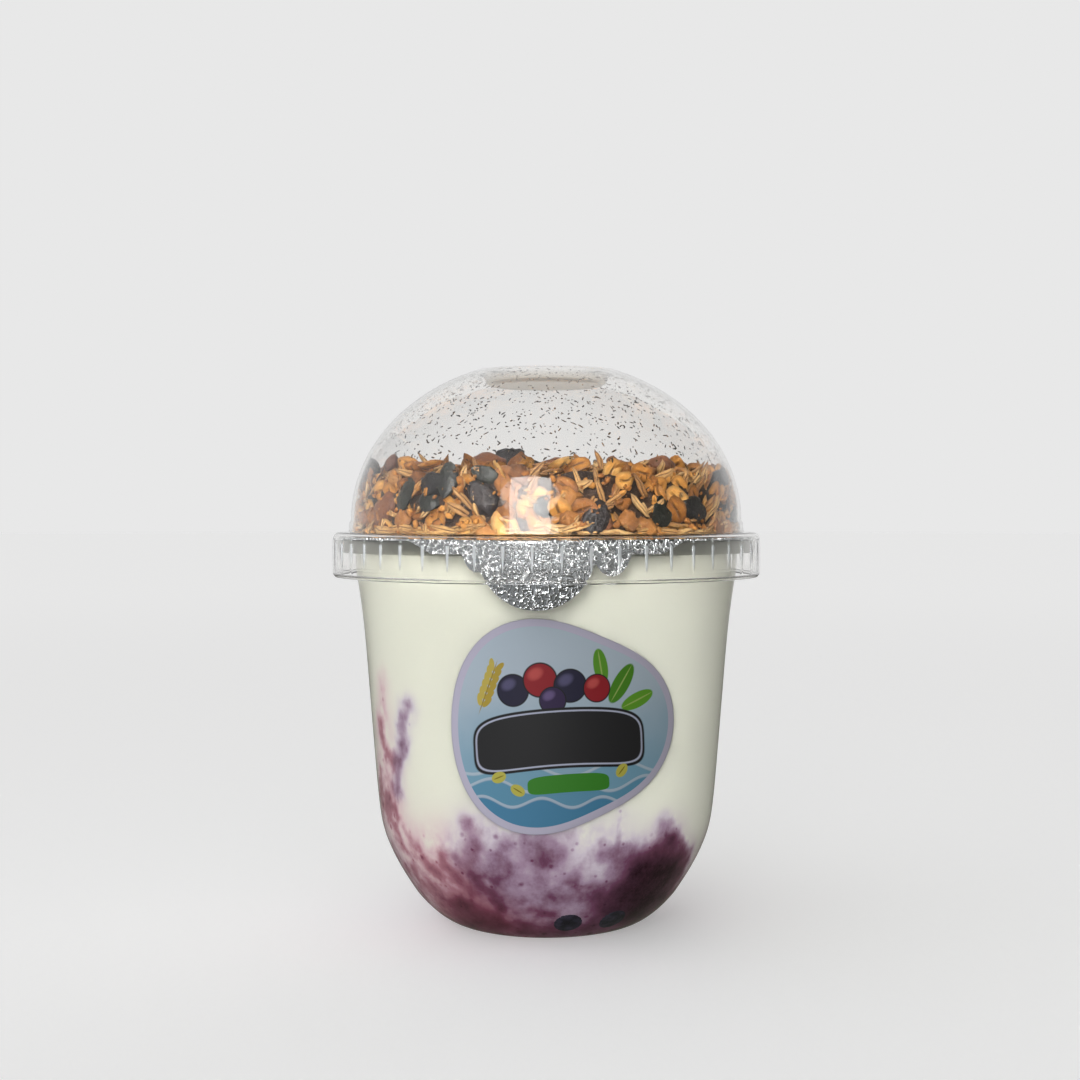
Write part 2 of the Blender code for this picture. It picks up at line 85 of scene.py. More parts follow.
def radius_at(path, height):
    """How far out a (radius, height) path is at this height, on its last stretch that rises past it."""
    for (low_radius, low), (high_radius, high) in zip(path[-2::-1], path[:0:-1]):
        if low <= height <= high and high > low:
            return low_radius + (high_radius - low_radius) * (height - low) / (high - low)
    return path[-1][0]


def drawn_in(path, depth):
    """A path moved in by this depth, square to itself, as the inside of a wall follows its outside."""
    moved = []
    for number, (radius, height) in enumerate(path):
        before = path[max(number - 1, 0)]
        after = path[min(number + 1, len(path) - 1)]
        run, rise = after[0] - before[0], after[1] - before[1]
        length = math.hypot(run, rise)
        moved.append((max(radius - depth * rise / length, 0), height + depth * run / length))
    return moved


def walled(outside, wall):
    """The closed path of a thin wall: along its outside, back along its inside, and round its edge."""
    edge = outside[:1] if outside[0][0] > 0 else []
    return outside + drawn_in(outside, wall)[::-1] + edge


def turned(name, path, columns):
    """A skin turned round the upright axis: one point is extruded along the path, then spun."""
    bpy.ops.object.select_all(action="DESELECT")
    bpy.ops.mesh.primitive_plane_add(size=.01)
    piece = bpy.context.object
    piece.name = piece.data.name = name
    bpy.ops.object.mode_set(mode="EDIT")
    bpy.ops.mesh.merge(type="CENTER")
    bpy.ops.transform.translate(value=(path[0][0], 0, path[0][1]))
    for (radius, height), (next_radius, next_height) in zip(path, path[1:]):
        bpy.ops.mesh.extrude_vertices_move(
            TRANSFORM_OT_translate={"value": (next_radius - radius, 0, next_height - height)})
    bpy.ops.mesh.select_all(action="SELECT")
    bpy.ops.mesh.spin(steps=columns, angle=math.tau, center=(0, 0, 0), axis=(0, 0, 1))
    bpy.ops.mesh.select_all(action="SELECT")
    bpy.ops.mesh.remove_doubles(threshold=SAME_PLACE)
    bpy.ops.object.mode_set(mode="OBJECT")
    return piece


def faced_out(piece):
    """Turns the faces outwards, after points that lie together are merged, and smooths the shading."""
    bpy.ops.object.select_all(action="DESELECT")
    bpy.context.view_layer.objects.active = piece
    piece.select_set(True)
    bpy.ops.object.mode_set(mode="EDIT")
    bpy.ops.mesh.select_all(action="SELECT")
    bpy.ops.mesh.remove_doubles(threshold=SAME_PLACE)
    bpy.ops.mesh.delete_loose()
    bpy.ops.mesh.select_all(action="SELECT")
    bpy.ops.mesh.normals_make_consistent(inside=False)
    bpy.ops.object.mode_set(mode="OBJECT")
    bpy.ops.object.shade_smooth_by_angle(angle=CREASE_ANGLE)
    return piece


class Wire:
    """One socket in a material's nodes. Sums with wires add the Math nodes that work them out."""

    def __init__(self, socket):
        self.socket = socket

    def node(self, kind, settings, sockets, output=0):
        """Adds a node of this kind with its settings, then with values or wires for its sockets."""
        added = self.socket.id_data.nodes.new("ShaderNode" + kind)
        for name, value in settings.items():
            if name == "stops":
                for spare in list(added.color_ramp.elements)[1:]:
                    added.color_ramp.elements.remove(spare)
                for number, (place, tint) in enumerate(value):
                    stops = added.color_ramp.elements
                    stop = stops.new(place) if number else stops[0]
                    stop.position, stop.color = place, tint
            else:
                setattr(added, name, value)
        for name, value in sockets.items():
            if isinstance(value, Wire):
                self.socket.id_data.links.new(value.socket, added.inputs[name])
            else:
                added.inputs[name].default_value = value
        return Wire(added.outputs[output])

    def sum(self, operation, *values):
        """One Math node of this operation on these wires and numbers."""
        return self.node("Math", {"operation": operation}, dict(enumerate(values)))

    def __add__(self, other):
        return self.sum("ADD", self, other)

    def __radd__(self, other):
        return self.sum("ADD", other, self)

    def __sub__(self, other):
        return self.sum("SUBTRACT", self, other)

    def __rsub__(self, other):
        return self.sum("SUBTRACT", other, self)

    def __mul__(self, other):
        return self.sum("MULTIPLY", self, other)

    def __rmul__(self, other):
        return self.sum("MULTIPLY", other, self)

    def __truediv__(self, other):
        return self.sum("DIVIDE", self, other)

    def between(self, low, high):
        """0 below low, 1 above high, and a smooth rise between them (or a fall, where low is higher)."""
        return self.node("MapRange", {"interpolation_type": "SMOOTHSTEP"},
                         {"Value": self, "From Min": low, "From Max": high})

    def mixed(self, under, over):
        """A colour: under where this mask is 0, over where it is 1."""
        return self.node("Mix", {"data_type": "RGBA"}, {0: self, 6: under, 7: over}, output=2)

    def grain(self, scale, detail=3, roughness=.55, stretch=(1, 1, 1)):
        """Noise from 0 to 1 over this place, with this many grains a metre."""
        place = self.node("Mapping", {}, {"Vector": self, "Scale": stretch})
        return self.node("TexNoise", {}, {"Vector": place, "Scale": scale, "Detail": detail,
                                          "Roughness": roughness})

    def spots(self, scale, size, share):
        """Round soft spots, 1 in their middle, in this share of the cells of this many a metre."""
        cells = {"Vector": self, "Scale": scale}
        tone = self.node("TexVoronoi", {}, cells, output="Color")
        dots = self.node("TexVoronoi", {}, cells).between(size, size * .3)
        return dots * tone.sum("LESS_THAN", tone, share)

    def into(self, socket):
        """Links this wire to a socket."""
        self.socket.id_data.links.new(self.socket, socket)


def colour(red, green, blue):
    """A colour as a photograph shows it, 0 to 255, as the light that a shader reckons with."""
    parts = [part / 255 for part in (red, green, blue)]
    return tuple(part / 12.92 if part <= .04045 else ((part + .055) / 1.055) ** 2.4
                 for part in parts) + (1,)


def finish(name, **sockets):
    """A material, its shader with these values set, and the wire of a place on the piece."""
    material = bpy.data.materials.new(name)
    material.use_nodes = True
    shader = material.node_tree.nodes["Principled BSDF"]
    for socket, value in sockets.items():
        shader.inputs[socket.replace("_", " ")].default_value = value
    place = Wire(material.node_tree.nodes.new("ShaderNodeTexCoord").outputs["Object"])
    return material, shader, place


def marked(piece, name, level):
    """Writes an attribute on the piece's points: level(point) for each of them."""
    values = [level(point.co) for point in piece.data.vertices]
    piece.data.attributes.new(name, "FLOAT", "POINT").data.foreach_set("value", values)


def clear_plastic(name, tint, shine, roughness, frost_tint, ripple_scale):
    """Clear moulded plastic with faint ripples. It is milky where it is marked frosted, and painted
    opaque white where it is marked as pressed into a rib: painted highlight lines. Rays that cast shadows
    pass straight through it."""
    material, shader, place = finish(name, Base_Color=tint, IOR=1.5, Transmission_Weight=1.0,
                                     Specular_Tint=(shine, shine, shine, 1))
    ripples = place.grain(ripple_scale, 2, .5, (1, 1, .35))
    bump = place.node("Bump", {}, {"Height": ripples, "Distance": RIPPLE_HEIGHT, "Strength": 1.0})
    bump.into(shader.inputs["Normal"])
    smears = place.grain(ripple_scale / 3, 3, .6)
    frost = place.node("Attribute", {"attribute_name": "frosted"}, {}, output="Fac")
    (roughness + smears.between(.55, .8) * .05 + frost * .3).into(shader.inputs["Roughness"])
    frost.mixed(tint, frost_tint).into(shader.inputs["Base Color"])
    passes = place.node("LightPath", {}, {}, output="Is Shadow Ray")
    through = place.node("BsdfTransparent", {}, {"Color": tint})
    surface = place.node("MixShader", {}, {0: passes, 1: Wire(shader.outputs[0]), 2: through})
    # Where the rib crests are marked, the plastic turns to opaque white: painted highlight lines on the
    # ribs.
    pressed = place.node("Attribute", {"attribute_name": "pressed"}, {}, output="Fac").between(.35, .55)
    painted_rib_highlight = place.node("BsdfPrincipled", {}, {"Base Color": colour(246, 250, 252), "Roughness": .25})
    surface = place.node("MixShader", {}, {0: pressed, 1: surface, 2: painted_rib_highlight})
    surface.into(material.node_tree.nodes["Material Output"].inputs["Surface"])
    return material


rim = [(NECK_RADIUS + RIM_ROUNDING / 2, RIM_HEIGHT), (RIM_RADIUS - RIM_ROUNDING, RIM_HEIGHT),
       (RIM_RADIUS - RIM_ROUNDING * .3, RIM_HEIGHT - RIM_ROUNDING * .3),
       (RIM_RADIUS, RIM_HEIGHT - RIM_ROUNDING), (RIM_RADIUS, RIM_HEIGHT - RIM_DEPTH)]
cup = faced_out(turned("cup_clear", walled(cup_outside() + rim, CUP_WALL), CUP_COLUMNS))
marked(cup, "frosted",
       lambda place: place.z > FROSTED_FROM and math.hypot(place.x, place.y) > NECK_RADIUS)
cup.data.materials.append(
    clear_plastic("cup_pet", (.985, .99, .98, 1), .1, .02, colour(214, 214, 206), 90))
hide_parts("cup")
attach(cup, "root")

# Berry compote fills the bottom of the cup and climbs the wall at the front right. It is stirred
# fruit with its juice, and the yogurt over it has run into it in streaks.
FILL_HEIGHT, FILL_BITE, COMPOTE_BITE = .0840, .00015, .00011
COMPOTE_CENTRE_HEIGHT, COMPOTE_EDGE_HEIGHT = .0090, .0104
COMPOTE_SWELLS = ((40, 14, .0135), (57, 9, .0075), (-40, 22, .0030), (-128, 24, .0090),
                  (146, 28, .0060))
COMPOTE_RIPPLE, COMPOTE_SWIRL, COMPOTE_OVERLAP = .0007, .0040, .0006
FILL_COLUMNS, COMPOTE_WALL_RINGS, COMPOTE_TOP_RINGS = 360, 60, 14
YOGURT_COLOUR = colour(229, 229, 217)
STAIN_STOPS = ((0, YOGURT_COLOUR), (.22, colour(208, 200, 208)), (.45, colour(170, 148, 168)),
               (.7, colour(116, 74, 98)), (1, colour(38, 17, 28)))
WINE_STOPS = ((0, YOGURT_COLOUR), (.22, colour(218, 194, 198)), (.45, colour(176, 124, 136)),
              (.7, colour(126, 68, 86)), (1, colour(52, 20, 30)))
# Streaks of juice at the wall: points (degrees round from the front, height in mm), then the
# half width in mm, how dark the streak is, and how wine-red it is.
STREAK_REACH, SWAY, SWAY_GRAIN, FINE_SWAY, FINE_SWAY_GRAIN = 32, .0022, 130, .0009, 420
STREAKS = (
    (((-49, 50), (-51, 44), (-56, 39), (-57, 33)), 2.3, .52, .1),
    (((-62, 55), (-66, 46), (-63, 38)), 2.6, .24, .8),
    (((-72, 36), (-74, 31), (-70, 27)), 2.4, .36, .8),
    (((-66, 29), (-65, 24), (-60, 20)), 2.0, .42, .9),
    (((-60, 27), (-55, 24), (-50, 19), (-43, 16)), 1.5, .26, .9),
    (((-24, 27), (-25, 22), (-28, 19), (-24, 14), (-17, 9)), 1.9, .42, .4),
    (((-38, 19), (-35, 15), (-29, 11)), 2.2, .42, .8),
    (((-38, 8), (-30, 6), (-20, 5)), 2.6, .50, .9),
    (((24, 33), (25, 28), (23, 22)), .9, .34, .0),
    (((-6, 10), (-2, 8), (2, 7)), 1.2, .34, .6),
    (((8, 16), (11, 14), (16, 15)), 1.1, .30, .5),
    (((40, 27), (43, 24), (48, 22)), 1.8, .42, .2),
    (((52, 22), (57, 18), (60, 12)), 1.6, .40, .4),
    (((116, 50), (114, 40), (119, 31), (116, 20)), 3.0, .34, .4),
    (((143, 40), (152, 33), (149, 22), (156, 14)), 3.4, .30, .7),
    (((-110, 40), (-115, 33), (-112, 24), (-118, 16)), 3.0, .34, .5),
    (((-160, 52), (-164, 42), (-159, 33), (-166, 22)), 3.2, .30, .2),
)
# Broad clouds of colour: (degrees round, height in mm), half widths in mm, darkness, redness.
CLOUD_SHARPNESS = 5.5
CLOUDS = (
    ((-66, 12), (14, 13), .24, .6), ((-64, 34), (7, 13), .20, .7), ((-40, 12), (12, 12), .26, .7),
    ((-26, 12), (9, 9), .14, .5), ((-16, 7), (14, 6), .20, .5), ((-34, 4), (13, 5), .44, .8),
    ((-12, 20), (13, 9), .34, .1), ((8, 17), (15, 11), .38, .1), ((17, 7), (12, 6), .36, .2),
    ((0, 0), (30, 4.5), .60, .4), ((43, 15), (8.5, 8.5), .93, .35), ((35, 9), (9, 7), .90, .3),
    ((52, 11), (8, 7), .84, .4), ((62, 3), (12, 5), .72, .4), ((27, 18), (5, 5), .40, .1),
    ((110, 12), (20, 12), .45, .5), ((150, 14), (22, 12), .46, .4), ((-110, 14), (20, 13), .45, .4),
    ((-150, 13), (20, 12), .42, .6), ((180, 8), (26, 8), .55, .5), ((92, 6), (14, 6), .55, .5),
    ((122, 30), (10, 14), .20, .5), ((150, 28), (9, 11), .22, .7), ((-112, 30), (9, 13), .20, .5),
    ((-156, 34), (9, 13), .18, .2), ((-172, 22), (11, 9), .24, .4), ((172, 20), (9, 7), .22, .6),
)
fill_path = drawn_in(cup_outside(), CUP_WALL - FILL_BITE)
noise.seed_set(7)


def compote_edge(side):
    """How high the compote stands at the wall, at this angle round from the front."""
    degrees = math.degrees(side)
    swell = sum(rise * math.exp(-(((degrees - centre + 180) % 360 - 180) / width) ** 2)
                for centre, width, rise in COMPOTE_SWELLS)
    return COMPOTE_EDGE_HEIGHT + swell + COMPOTE_RIPPLE * math.sin(5 * side)


def compote_top(side, share):
    """The height of the compote's top, from its middle (share 0) to the wall (share 1)."""
    swirl = COMPOTE_SWIRL * math.sin(3 * side + 4 * share) * share * (1 - share)
    return COMPOTE_CENTRE_HEIGHT + (compote_edge(side) - COMPOTE_CENTRE_HEIGHT) * share ** 2 + swirl


def lengths_along(path):
    """How far along the path each of its points is."""
    lengths = [0]
    for (radius, height), (next_radius, next_height) in zip(path, path[1:]):
        lengths.append(lengths[-1] + math.hypot(next_radius - radius, next_height - height))
    return lengths


def point_along(path, lengths, length):
    """The point (radius, height) at this length along the path."""
    for number in range(len(path) - 1):
        if length <= lengths[number + 1] or number == len(path) - 2:
            share = (length - lengths[number]) / (lengths[number + 1] - lengths[number])
            return tuple(a + (b - a) * share for a, b in zip(path[number], path[number + 1]))


def length_at(path, lengths, height):
    """How far along the path its last rise past this height is."""
    for number in range(len(path) - 2, -1, -1):
        low, high = path[number][1], path[number + 1][1]
        if low <= height <= high and high > low:
            step = lengths[number + 1] - lengths[number]
            return lengths[number] + step * (height - low) / (high - low)


def spot(side, radius, height):
    """A place by its angle round from the front, its distance from the upright axis and its height."""
    return Vector((radius * math.sin(side), -radius * math.cos(side), height))


def shaped(name, rings, columns, place):
    """A closed skin: a grid is rolled into a tube, as place(ring, side) moves each point of it."""
    bpy.ops.object.select_all(action="DESELECT")
    bpy.ops.mesh.primitive_grid_add(x_subdivisions=columns, y_subdivisions=rings, size=2)
    piece = bpy.context.object
    piece.name = piece.data.name = name
    for point in piece.data.vertices:
        point.co = place(round((point.co.y + 1) / 2 * rings), point.co.x * math.pi)
    return faced_out(piece)


def stain_at(point):
    """How much juice stains the fill's wall at this place, from 0 to 1, and how wine-red it is."""
    swayed = (point + SWAY * noise.noise_vector(point * SWAY_GRAIN)
              + FINE_SWAY * noise.noise_vector(point * FINE_SWAY_GRAIN))
    side, height = math.degrees(math.atan2(swayed.x, -swayed.y)), swayed.z * 1000
    degree = math.radians(1) * max(math.hypot(swayed.x, swayed.y) * 1000, 1)
    clear, red, weight = 1.0, 0.0, 1e-6
    for points, half_width, dark, redness in STREAKS:
        if abs((points[0][0] - side + 180) % 360 - 180) > STREAK_REACH:
            continue
        nearest = 99.0
        for start, end in zip(points, points[1:]):
            run = Vector((((end[0] - start[0] + 180) % 360 - 180) * degree, end[1] - start[1]))
            gap = Vector((((side - start[0] + 180) % 360 - 180) * degree, height - start[1]))
            share = min(max(gap.dot(run) / run.length_squared, 0), 1)
            nearest = min(nearest, (gap - run * share).length)
        amount = dark * math.exp(-(nearest / half_width) ** 2)
        clear, red, weight = clear * (1 - amount), red + amount * redness, weight + amount
    for (centre, level), (half_width, half_height), dark, redness in CLOUDS:
        across = ((side - centre + 180) % 360 - 180) * degree / half_width
        outwards = math.hypot(across, (height - level) / half_height) - 1
        amount = dark / (1 + math.exp(CLOUD_SHARPNESS * outwards))
        clear, red, weight = clear * (1 - amount), red + amount * redness, weight + amount
    return 1 - clear, red / weight


def stained(piece):
    """Writes the juice's stain on the piece's points, for its material to read."""
    juice = piece.data.attributes.new("juice", "FLOAT", "POINT")
    wine = piece.data.attributes.new("wine", "FLOAT", "POINT")
    for point in piece.data.vertices:
        juice.data[point.index].value, wine.data[point.index].value = stain_at(point.co)
    return piece


def marbled(name, roughness):
    """Yogurt and fruit juice seen at the cup's wall: one wet opaque mass, its colour from the stain."""
    material, shader, place = finish(name, Specular_IOR_Level=.02)
    juice = place.node("Attribute", {"attribute_name": "juice"}, {}, output="Fac")
    wine = place.node("Attribute", {"attribute_name": "wine"}, {}, output="Fac")
    curls = place.grain(420, 5, .62)
    flecks = place.grain(1500, 3, .6)
    clots = place.grain(150, 2, .5).between(.38, .66) - .5
    veins = place.grain(230, 3, .5, (1, 1, .8)).between(.35, .7) - .5
    spread = juice.between(.04, .34) * (1.1 - juice)
    specks = place.spots(330, .30, .30) + place.spots(600, .32, .22) * .8
    amount = (juice + spread * (clots * .3 + veins * .3 + (curls - .5) * .4)
              + specks * juice.between(.10, .30) * (1.1 - juice) * (.15 + curls * .4)
              + juice.between(.1, .4) * (flecks - .5) * .1)
    cool = amount.node("ValToRGB", {"stops": STAIN_STOPS}, {"Fac": amount})
    warm = amount.node("ValToRGB", {"stops": WINE_STOPS}, {"Fac": amount})
    wine.between(.15, .75).mixed(cool, warm).into(shader.inputs["Base Color"])
    (roughness + curls * .1).into(shader.inputs["Roughness"])
    return material


fill_lengths = lengths_along(fill_path)
compote_path = drawn_in(cup_outside(), CUP_WALL - COMPOTE_BITE)
compote_lengths = lengths_along(compote_path)


def compote_place(ring, side):
    """Up the wall from the middle of the base to the compote's edge, then back over its top."""
    edge = length_at(compote_path, compote_lengths, compote_edge(side) + COMPOTE_OVERLAP)
    if ring <= COMPOTE_WALL_RINGS:
        length = edge * ring / COMPOTE_WALL_RINGS
        return spot(side, *point_along(compote_path, compote_lengths, length))
    share = 1 - (ring - COMPOTE_WALL_RINGS) / COMPOTE_TOP_RINGS
    radius = point_along(compote_path, compote_lengths, edge)[0] * share
    return spot(side, radius, compote_top(side, share) + COMPOTE_OVERLAP)


compote = stained(shaped("compote", COMPOTE_WALL_RINGS + COMPOTE_TOP_RINGS, FILL_COLUMNS,
                         compote_place))
compote.data.materials.append(marbled("compote_wet", .35))
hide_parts("berry_compote")
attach(compote, "root")

# Two whole blueberries lie low at the front, pressed flat against the wall. Each is a navy-black
# berry with a small crown and a dull bloom, half sunk in the compote.
BERRY_RADIUS, BERRY_BITE, BERRY_PRESS = .0046, .00024, .0009
CROWN_RADIUS, CROWN_DEPTH = .0014, .0005
BERRY_SIDES, BERRY_BANDS = 40, 24
berry_wall = drawn_in(cup_outside(), CUP_WALL - BERRY_BITE)


def berry_skin():
    """A berry's dark skin: bloom in soft patches over blue-black."""
    material, shader, place = finish("berry_skin", Specular_IOR_Level=.1)
    bloom = place.grain(500, 4, .6)
    bloom.between(.35, .75).mixed(colour(24, 23, 32), colour(56, 54, 70)).into(
        shader.inputs["Base Color"])
    (.35 + bloom * .4).into(shader.inputs["Roughness"])
    bump = place.node("Bump", {}, {"Height": bloom, "Distance": .00015, "Strength": .6})
    bump.into(shader.inputs["Normal"])
    return material


skin = berry_skin()
for name in ("blueberry_middle", "blueberry_right"):
    low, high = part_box(name)
    middle = (low + high) / 2
    side, out = math.atan2(middle.x, -middle.y), math.hypot(middle.x, middle.y)
    to_wall = min((Vector((radius - out, height - middle.z)) for radius, height in berry_wall),
                  key=lambda step: step.length)
    to_wall *= 1 - (BERRY_RADIUS - BERRY_PRESS) / to_wall.length
    middle = spot(side, out + to_wall.x, middle.z + to_wall.y)
    bpy.ops.object.select_all(action="DESELECT")
    bpy.ops.mesh.primitive_uv_sphere_add(segments=BERRY_SIDES, ring_count=BERRY_BANDS,
                                         radius=BERRY_RADIUS)
    berry = bpy.context.object
    berry.name = berry.data.name = name + "_whole"
    for point in berry.data.vertices:
        from_crown = math.hypot(point.co.x, point.co.y)
        if point.co.z > 0 and from_crown < CROWN_RADIUS:
            point.co.z -= CROWN_DEPTH * (1.4 - (from_crown / CROWN_RADIUS) ** 2)
        point.co += middle
        out = math.hypot(point.co.x, point.co.y)
        most = radius_at(berry_wall, point.co.z)
        if out > most:
            point.co.x, point.co.y = point.co.x * most / out, point.co.y * most / out
    berry = faced_out(berry)
    berry.data.materials.append(skin)
    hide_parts(name)
    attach(berry, "root")

# Thick white yogurt fills the cup over the compote, nearly to the rim. It touches the wall all
# round, so what is seen is its marbled side, with a level top under the foil.
YOGURT_FLOOR_RINGS, YOGURT_WALL_RINGS, YOGURT_TOP_RINGS = 14, 120, 6
YOGURT_EDGE_ROUNDING = .0006


def yogurt_place(ring, side):
    """Out over the compote's top, up the wall to the fill line, then in over the level top."""
    low = length_at(fill_path, fill_lengths, compote_edge(side))
    high = length_at(fill_path, fill_lengths, FILL_HEIGHT - YOGURT_EDGE_ROUNDING)
    if ring < YOGURT_FLOOR_RINGS:
        share = ring / YOGURT_FLOOR_RINGS
        return spot(side, point_along(fill_path, fill_lengths, low)[0] * share, compote_top(side, share))
    if ring <= YOGURT_FLOOR_RINGS + YOGURT_WALL_RINGS:
        share = (ring - YOGURT_FLOOR_RINGS) / YOGURT_WALL_RINGS
        return spot(side, *point_along(fill_path, fill_lengths, low + (high - low) * share))
    share = 1 - (ring - YOGURT_FLOOR_RINGS - YOGURT_WALL_RINGS) / YOGURT_TOP_RINGS
    radius = point_along(fill_path, fill_lengths, high)[0] - YOGURT_EDGE_ROUNDING
    return spot(side, radius * share, FILL_HEIGHT)


yogurt = stained(shaped("yogurt_fill", YOGURT_FLOOR_RINGS + YOGURT_WALL_RINGS + YOGURT_TOP_RINGS,
                        FILL_COLUMNS, yogurt_place))
yogurt.data.materials.append(marbled("yogurt_marbled", .38))
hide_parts("yogurt")
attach(yogurt, "root")

# The label is a die-cut paper sticker on the front of the cup, shaped like a pebble, with a pale
# border. Its print is generic: two blank panels, berries, leaves, oats and waves on light blue.
LABEL_HALF_WIDTH, LABEL_HALF_HEIGHT, LABEL_WAVE = .0250, .0218, .0017
LABEL_CENTRE_HEIGHT, LABEL_SHIFT = .0482, .0026
LABEL_THICKNESS, LABEL_LIFT = .00020, .00004
LABEL_RINGS, LABEL_COLUMNS = 26, 180
PLAQUE, PLAQUE_ARCH = (.2, -2.2, 17.6, 5.4, 3), .006
EAR_FOOT, EAR_TURN, EAR_GRAINS, EAR_STEP, EAR_HALF_WIDTH = (-16.6, 3.4), 70, 6, 1.55, .85


def label_reach(turn):
    """How far the label's edge is from its middle, in this direction on its face."""
    oval = 1 / math.hypot(math.cos(turn) / LABEL_HALF_WIDTH, math.sin(turn) / LABEL_HALF_HEIGHT)
    return oval + LABEL_WAVE * math.cos(3 * turn)


def label_place(ring, turn):
    """Out over the printed face from its middle, round its cut edge, and back over the glued face."""
    printed = ring <= LABEL_RINGS
    share = (ring if printed else 2 * LABEL_RINGS + 1 - ring) / LABEL_RINGS
    along = LABEL_SHIFT + share * label_reach(turn) * math.cos(turn)
    height = LABEL_CENTRE_HEIGHT + share * label_reach(turn) * math.sin(turn)
    radius = radius_at(cup_outside(), height) + LABEL_LIFT
    return spot(along / radius, radius + (LABEL_THICKNESS if printed else 0), height)


label_paint, label_shader, place = finish("label_print", Specular_IOR_Level=.2, Roughness=.5)
along = place.node("Attribute", {"attribute_name": "along"}, {}, output="Fac")
up = place.node("Attribute", {"attribute_name": "up"}, {}, output="Fac")
inset = place.node("Attribute", {"attribute_name": "inset"}, {}, output="Fac")


def turned_to(middle_along, middle_up, degrees):
    """Millimetres along and across a shape that is printed round this middle at this turn."""
    turn = math.radians(degrees)
    shift_along, shift_up = along - middle_along, up - middle_up
    return (shift_along * math.cos(turn) + shift_up * math.sin(turn),
            shift_up * math.cos(turn) - shift_along * math.sin(turn))


def oval(middle_along, middle_up, half_long, half_wide, degrees=0, soft=.12):
    """A mask that is 1 inside a printed oval, its edge this soft in shares of its size."""
    long, wide = turned_to(middle_along, middle_up, degrees)
    long, wide = long / half_long, wide / half_wide
    return (long * long + wide * wide).between(1 + soft, 1 - soft)


def plaque(middle_along, middle_up, half_long, half_wide, degrees):
    """A mask that is 1 inside a blank panel with round corners, arched a little."""
    long, wide = turned_to(middle_along, middle_up, degrees)
    long, wide = long / half_long, (wide + long * long * PLAQUE_ARCH) / half_wide
    long, wide = long * long, wide * wide
    return (long * long * long + wide * wide).between(1.06, .94)


clouds = place.grain(70, 3, .5)
picture = (up + 16 * (clouds - .5)).between(15, -14).mixed(colour(206, 222, 236), colour(150, 192, 216))
for level, swell, beat, tint in ((-8.5, 1.5, .30, (136, 186, 212)), (-12.0, 1.3, .38, (108, 168, 200)),
                                 (-15.5, 1.0, .5, (84, 150, 190))):
    crest = up - level - swell * (along * beat + level).sum("SINE", along * beat + level)
    picture = crest.between(.15, -.15).mixed(picture, colour(*tint))
    picture = (crest.between(-.75, -.3) * crest.between(.2, 0) * .7).mixed(picture, colour(222, 232, 244))
for middle_along, middle_up, half_long, degrees, tint in (
        (13.2, 8.8, 4.6, 58, (86, 152, 40)), (17.0, 5.2, 4.0, 22, (112, 180, 52)),
        (8.6, 12.4, 3.8, 100, (104, 170, 48))):
    leaf = oval(middle_along, middle_up, half_long, half_long * .40, degrees, .1)
    vein = oval(middle_along, middle_up, half_long * .92, .16, degrees, .4)
    picture = leaf.mixed(picture, colour(*tint))
    picture = (vein * .8).mixed(picture, colour(188, 214, 120))
ear_lean = math.radians(EAR_TURN)
stalk = oval(EAR_FOOT[0] + 5 * math.cos(ear_lean), EAR_FOOT[1] + 5 * math.sin(ear_lean), 5.6, .17,
             EAR_TURN, .4)
picture = stalk.mixed(picture, colour(176, 150, 60))
for number in range(EAR_GRAINS):
    run = 2.0 + number * EAR_STEP
    for hand in (-1, 1):
        off = hand * EAR_HALF_WIDTH
        grain_along = EAR_FOOT[0] + run * math.cos(ear_lean) - off * math.sin(ear_lean)
        grain_up = EAR_FOOT[1] + run * math.sin(ear_lean) + off * math.cos(ear_lean)
        picture = oval(grain_along, grain_up, 1.35, .58, EAR_TURN + hand * 24, .15).mixed(
            picture, colour(222, 200, 96) if hand > 0 else colour(204, 176, 70))
for middle_along, middle_up, half, dark, light in (
        (-9.6, 7.6, 3.1, (42, 40, 66), (100, 96, 134)), (-4.0, 9.8, 3.3, (168, 36, 46), (220, 92, 88)),
        (2.2, 8.6, 3.2, (42, 40, 66), (100, 96, 134)), (7.8, 8.0, 2.7, (168, 36, 46), (220, 92, 88)),
        (-1.4, 5.6, 2.6, (60, 44, 84), (120, 100, 150))):
    berry = oval(middle_along, middle_up, half, half * 1.02, 0, .07)
    outline = oval(middle_along, middle_up, half * 1.09, half * 1.11, 0, .07)
    picture = outline.mixed(picture, colour(30, 30, 38))
    picture = berry.mixed(picture, colour(*dark))
    glow = oval(middle_along - half * .3, middle_up + half * .38, half * .48, half * .34, 30, .9)
    picture = (berry * glow).mixed(picture, colour(*light))
for border, tint in ((.9, (36, 36, 38)), (.35, (206, 212, 236)), (0, (44, 44, 46))):
    picture = plaque(PLAQUE[0], PLAQUE[1], PLAQUE[2] + border, PLAQUE[3] + border, PLAQUE[4]).mixed(
        picture, colour(*tint))
picture = plaque(2.0, -11.6, 8.6, 1.9, 3).mixed(picture, colour(66, 150, 44))
for middle_along, middle_up, degrees in ((-12.6, -10.6, 24), (-8.6, -13.2, -30), (13.4, -9.4, 50)):
    picture = oval(middle_along, middle_up, 1.6, 1.15, degrees, .12).mixed(picture, colour(216, 208, 92))
    picture = oval(middle_along, middle_up, 1.1, .14, degrees, .5).mixed(picture, colour(150, 136, 44))
picture = inset.between(1.62, 1.50).mixed(picture, colour(218, 214, 236))
picture = (inset.between(.16, .08) * .5).mixed(picture, colour(180, 176, 196))
picture.into(label_shader.inputs["Base Color"])


def on_label(place):
    """Millimetres along and up from the label's middle, and in from its edge, at this place."""
    side = math.atan2(place.x, -place.y)
    reach = side * math.hypot(place.x, place.y) - LABEL_SHIFT
    rise = place.z - LABEL_CENTRE_HEIGHT
    edge = label_reach(math.atan2(rise, reach))
    return reach * 1000, rise * 1000, (edge - math.hypot(reach, rise)) * 1000


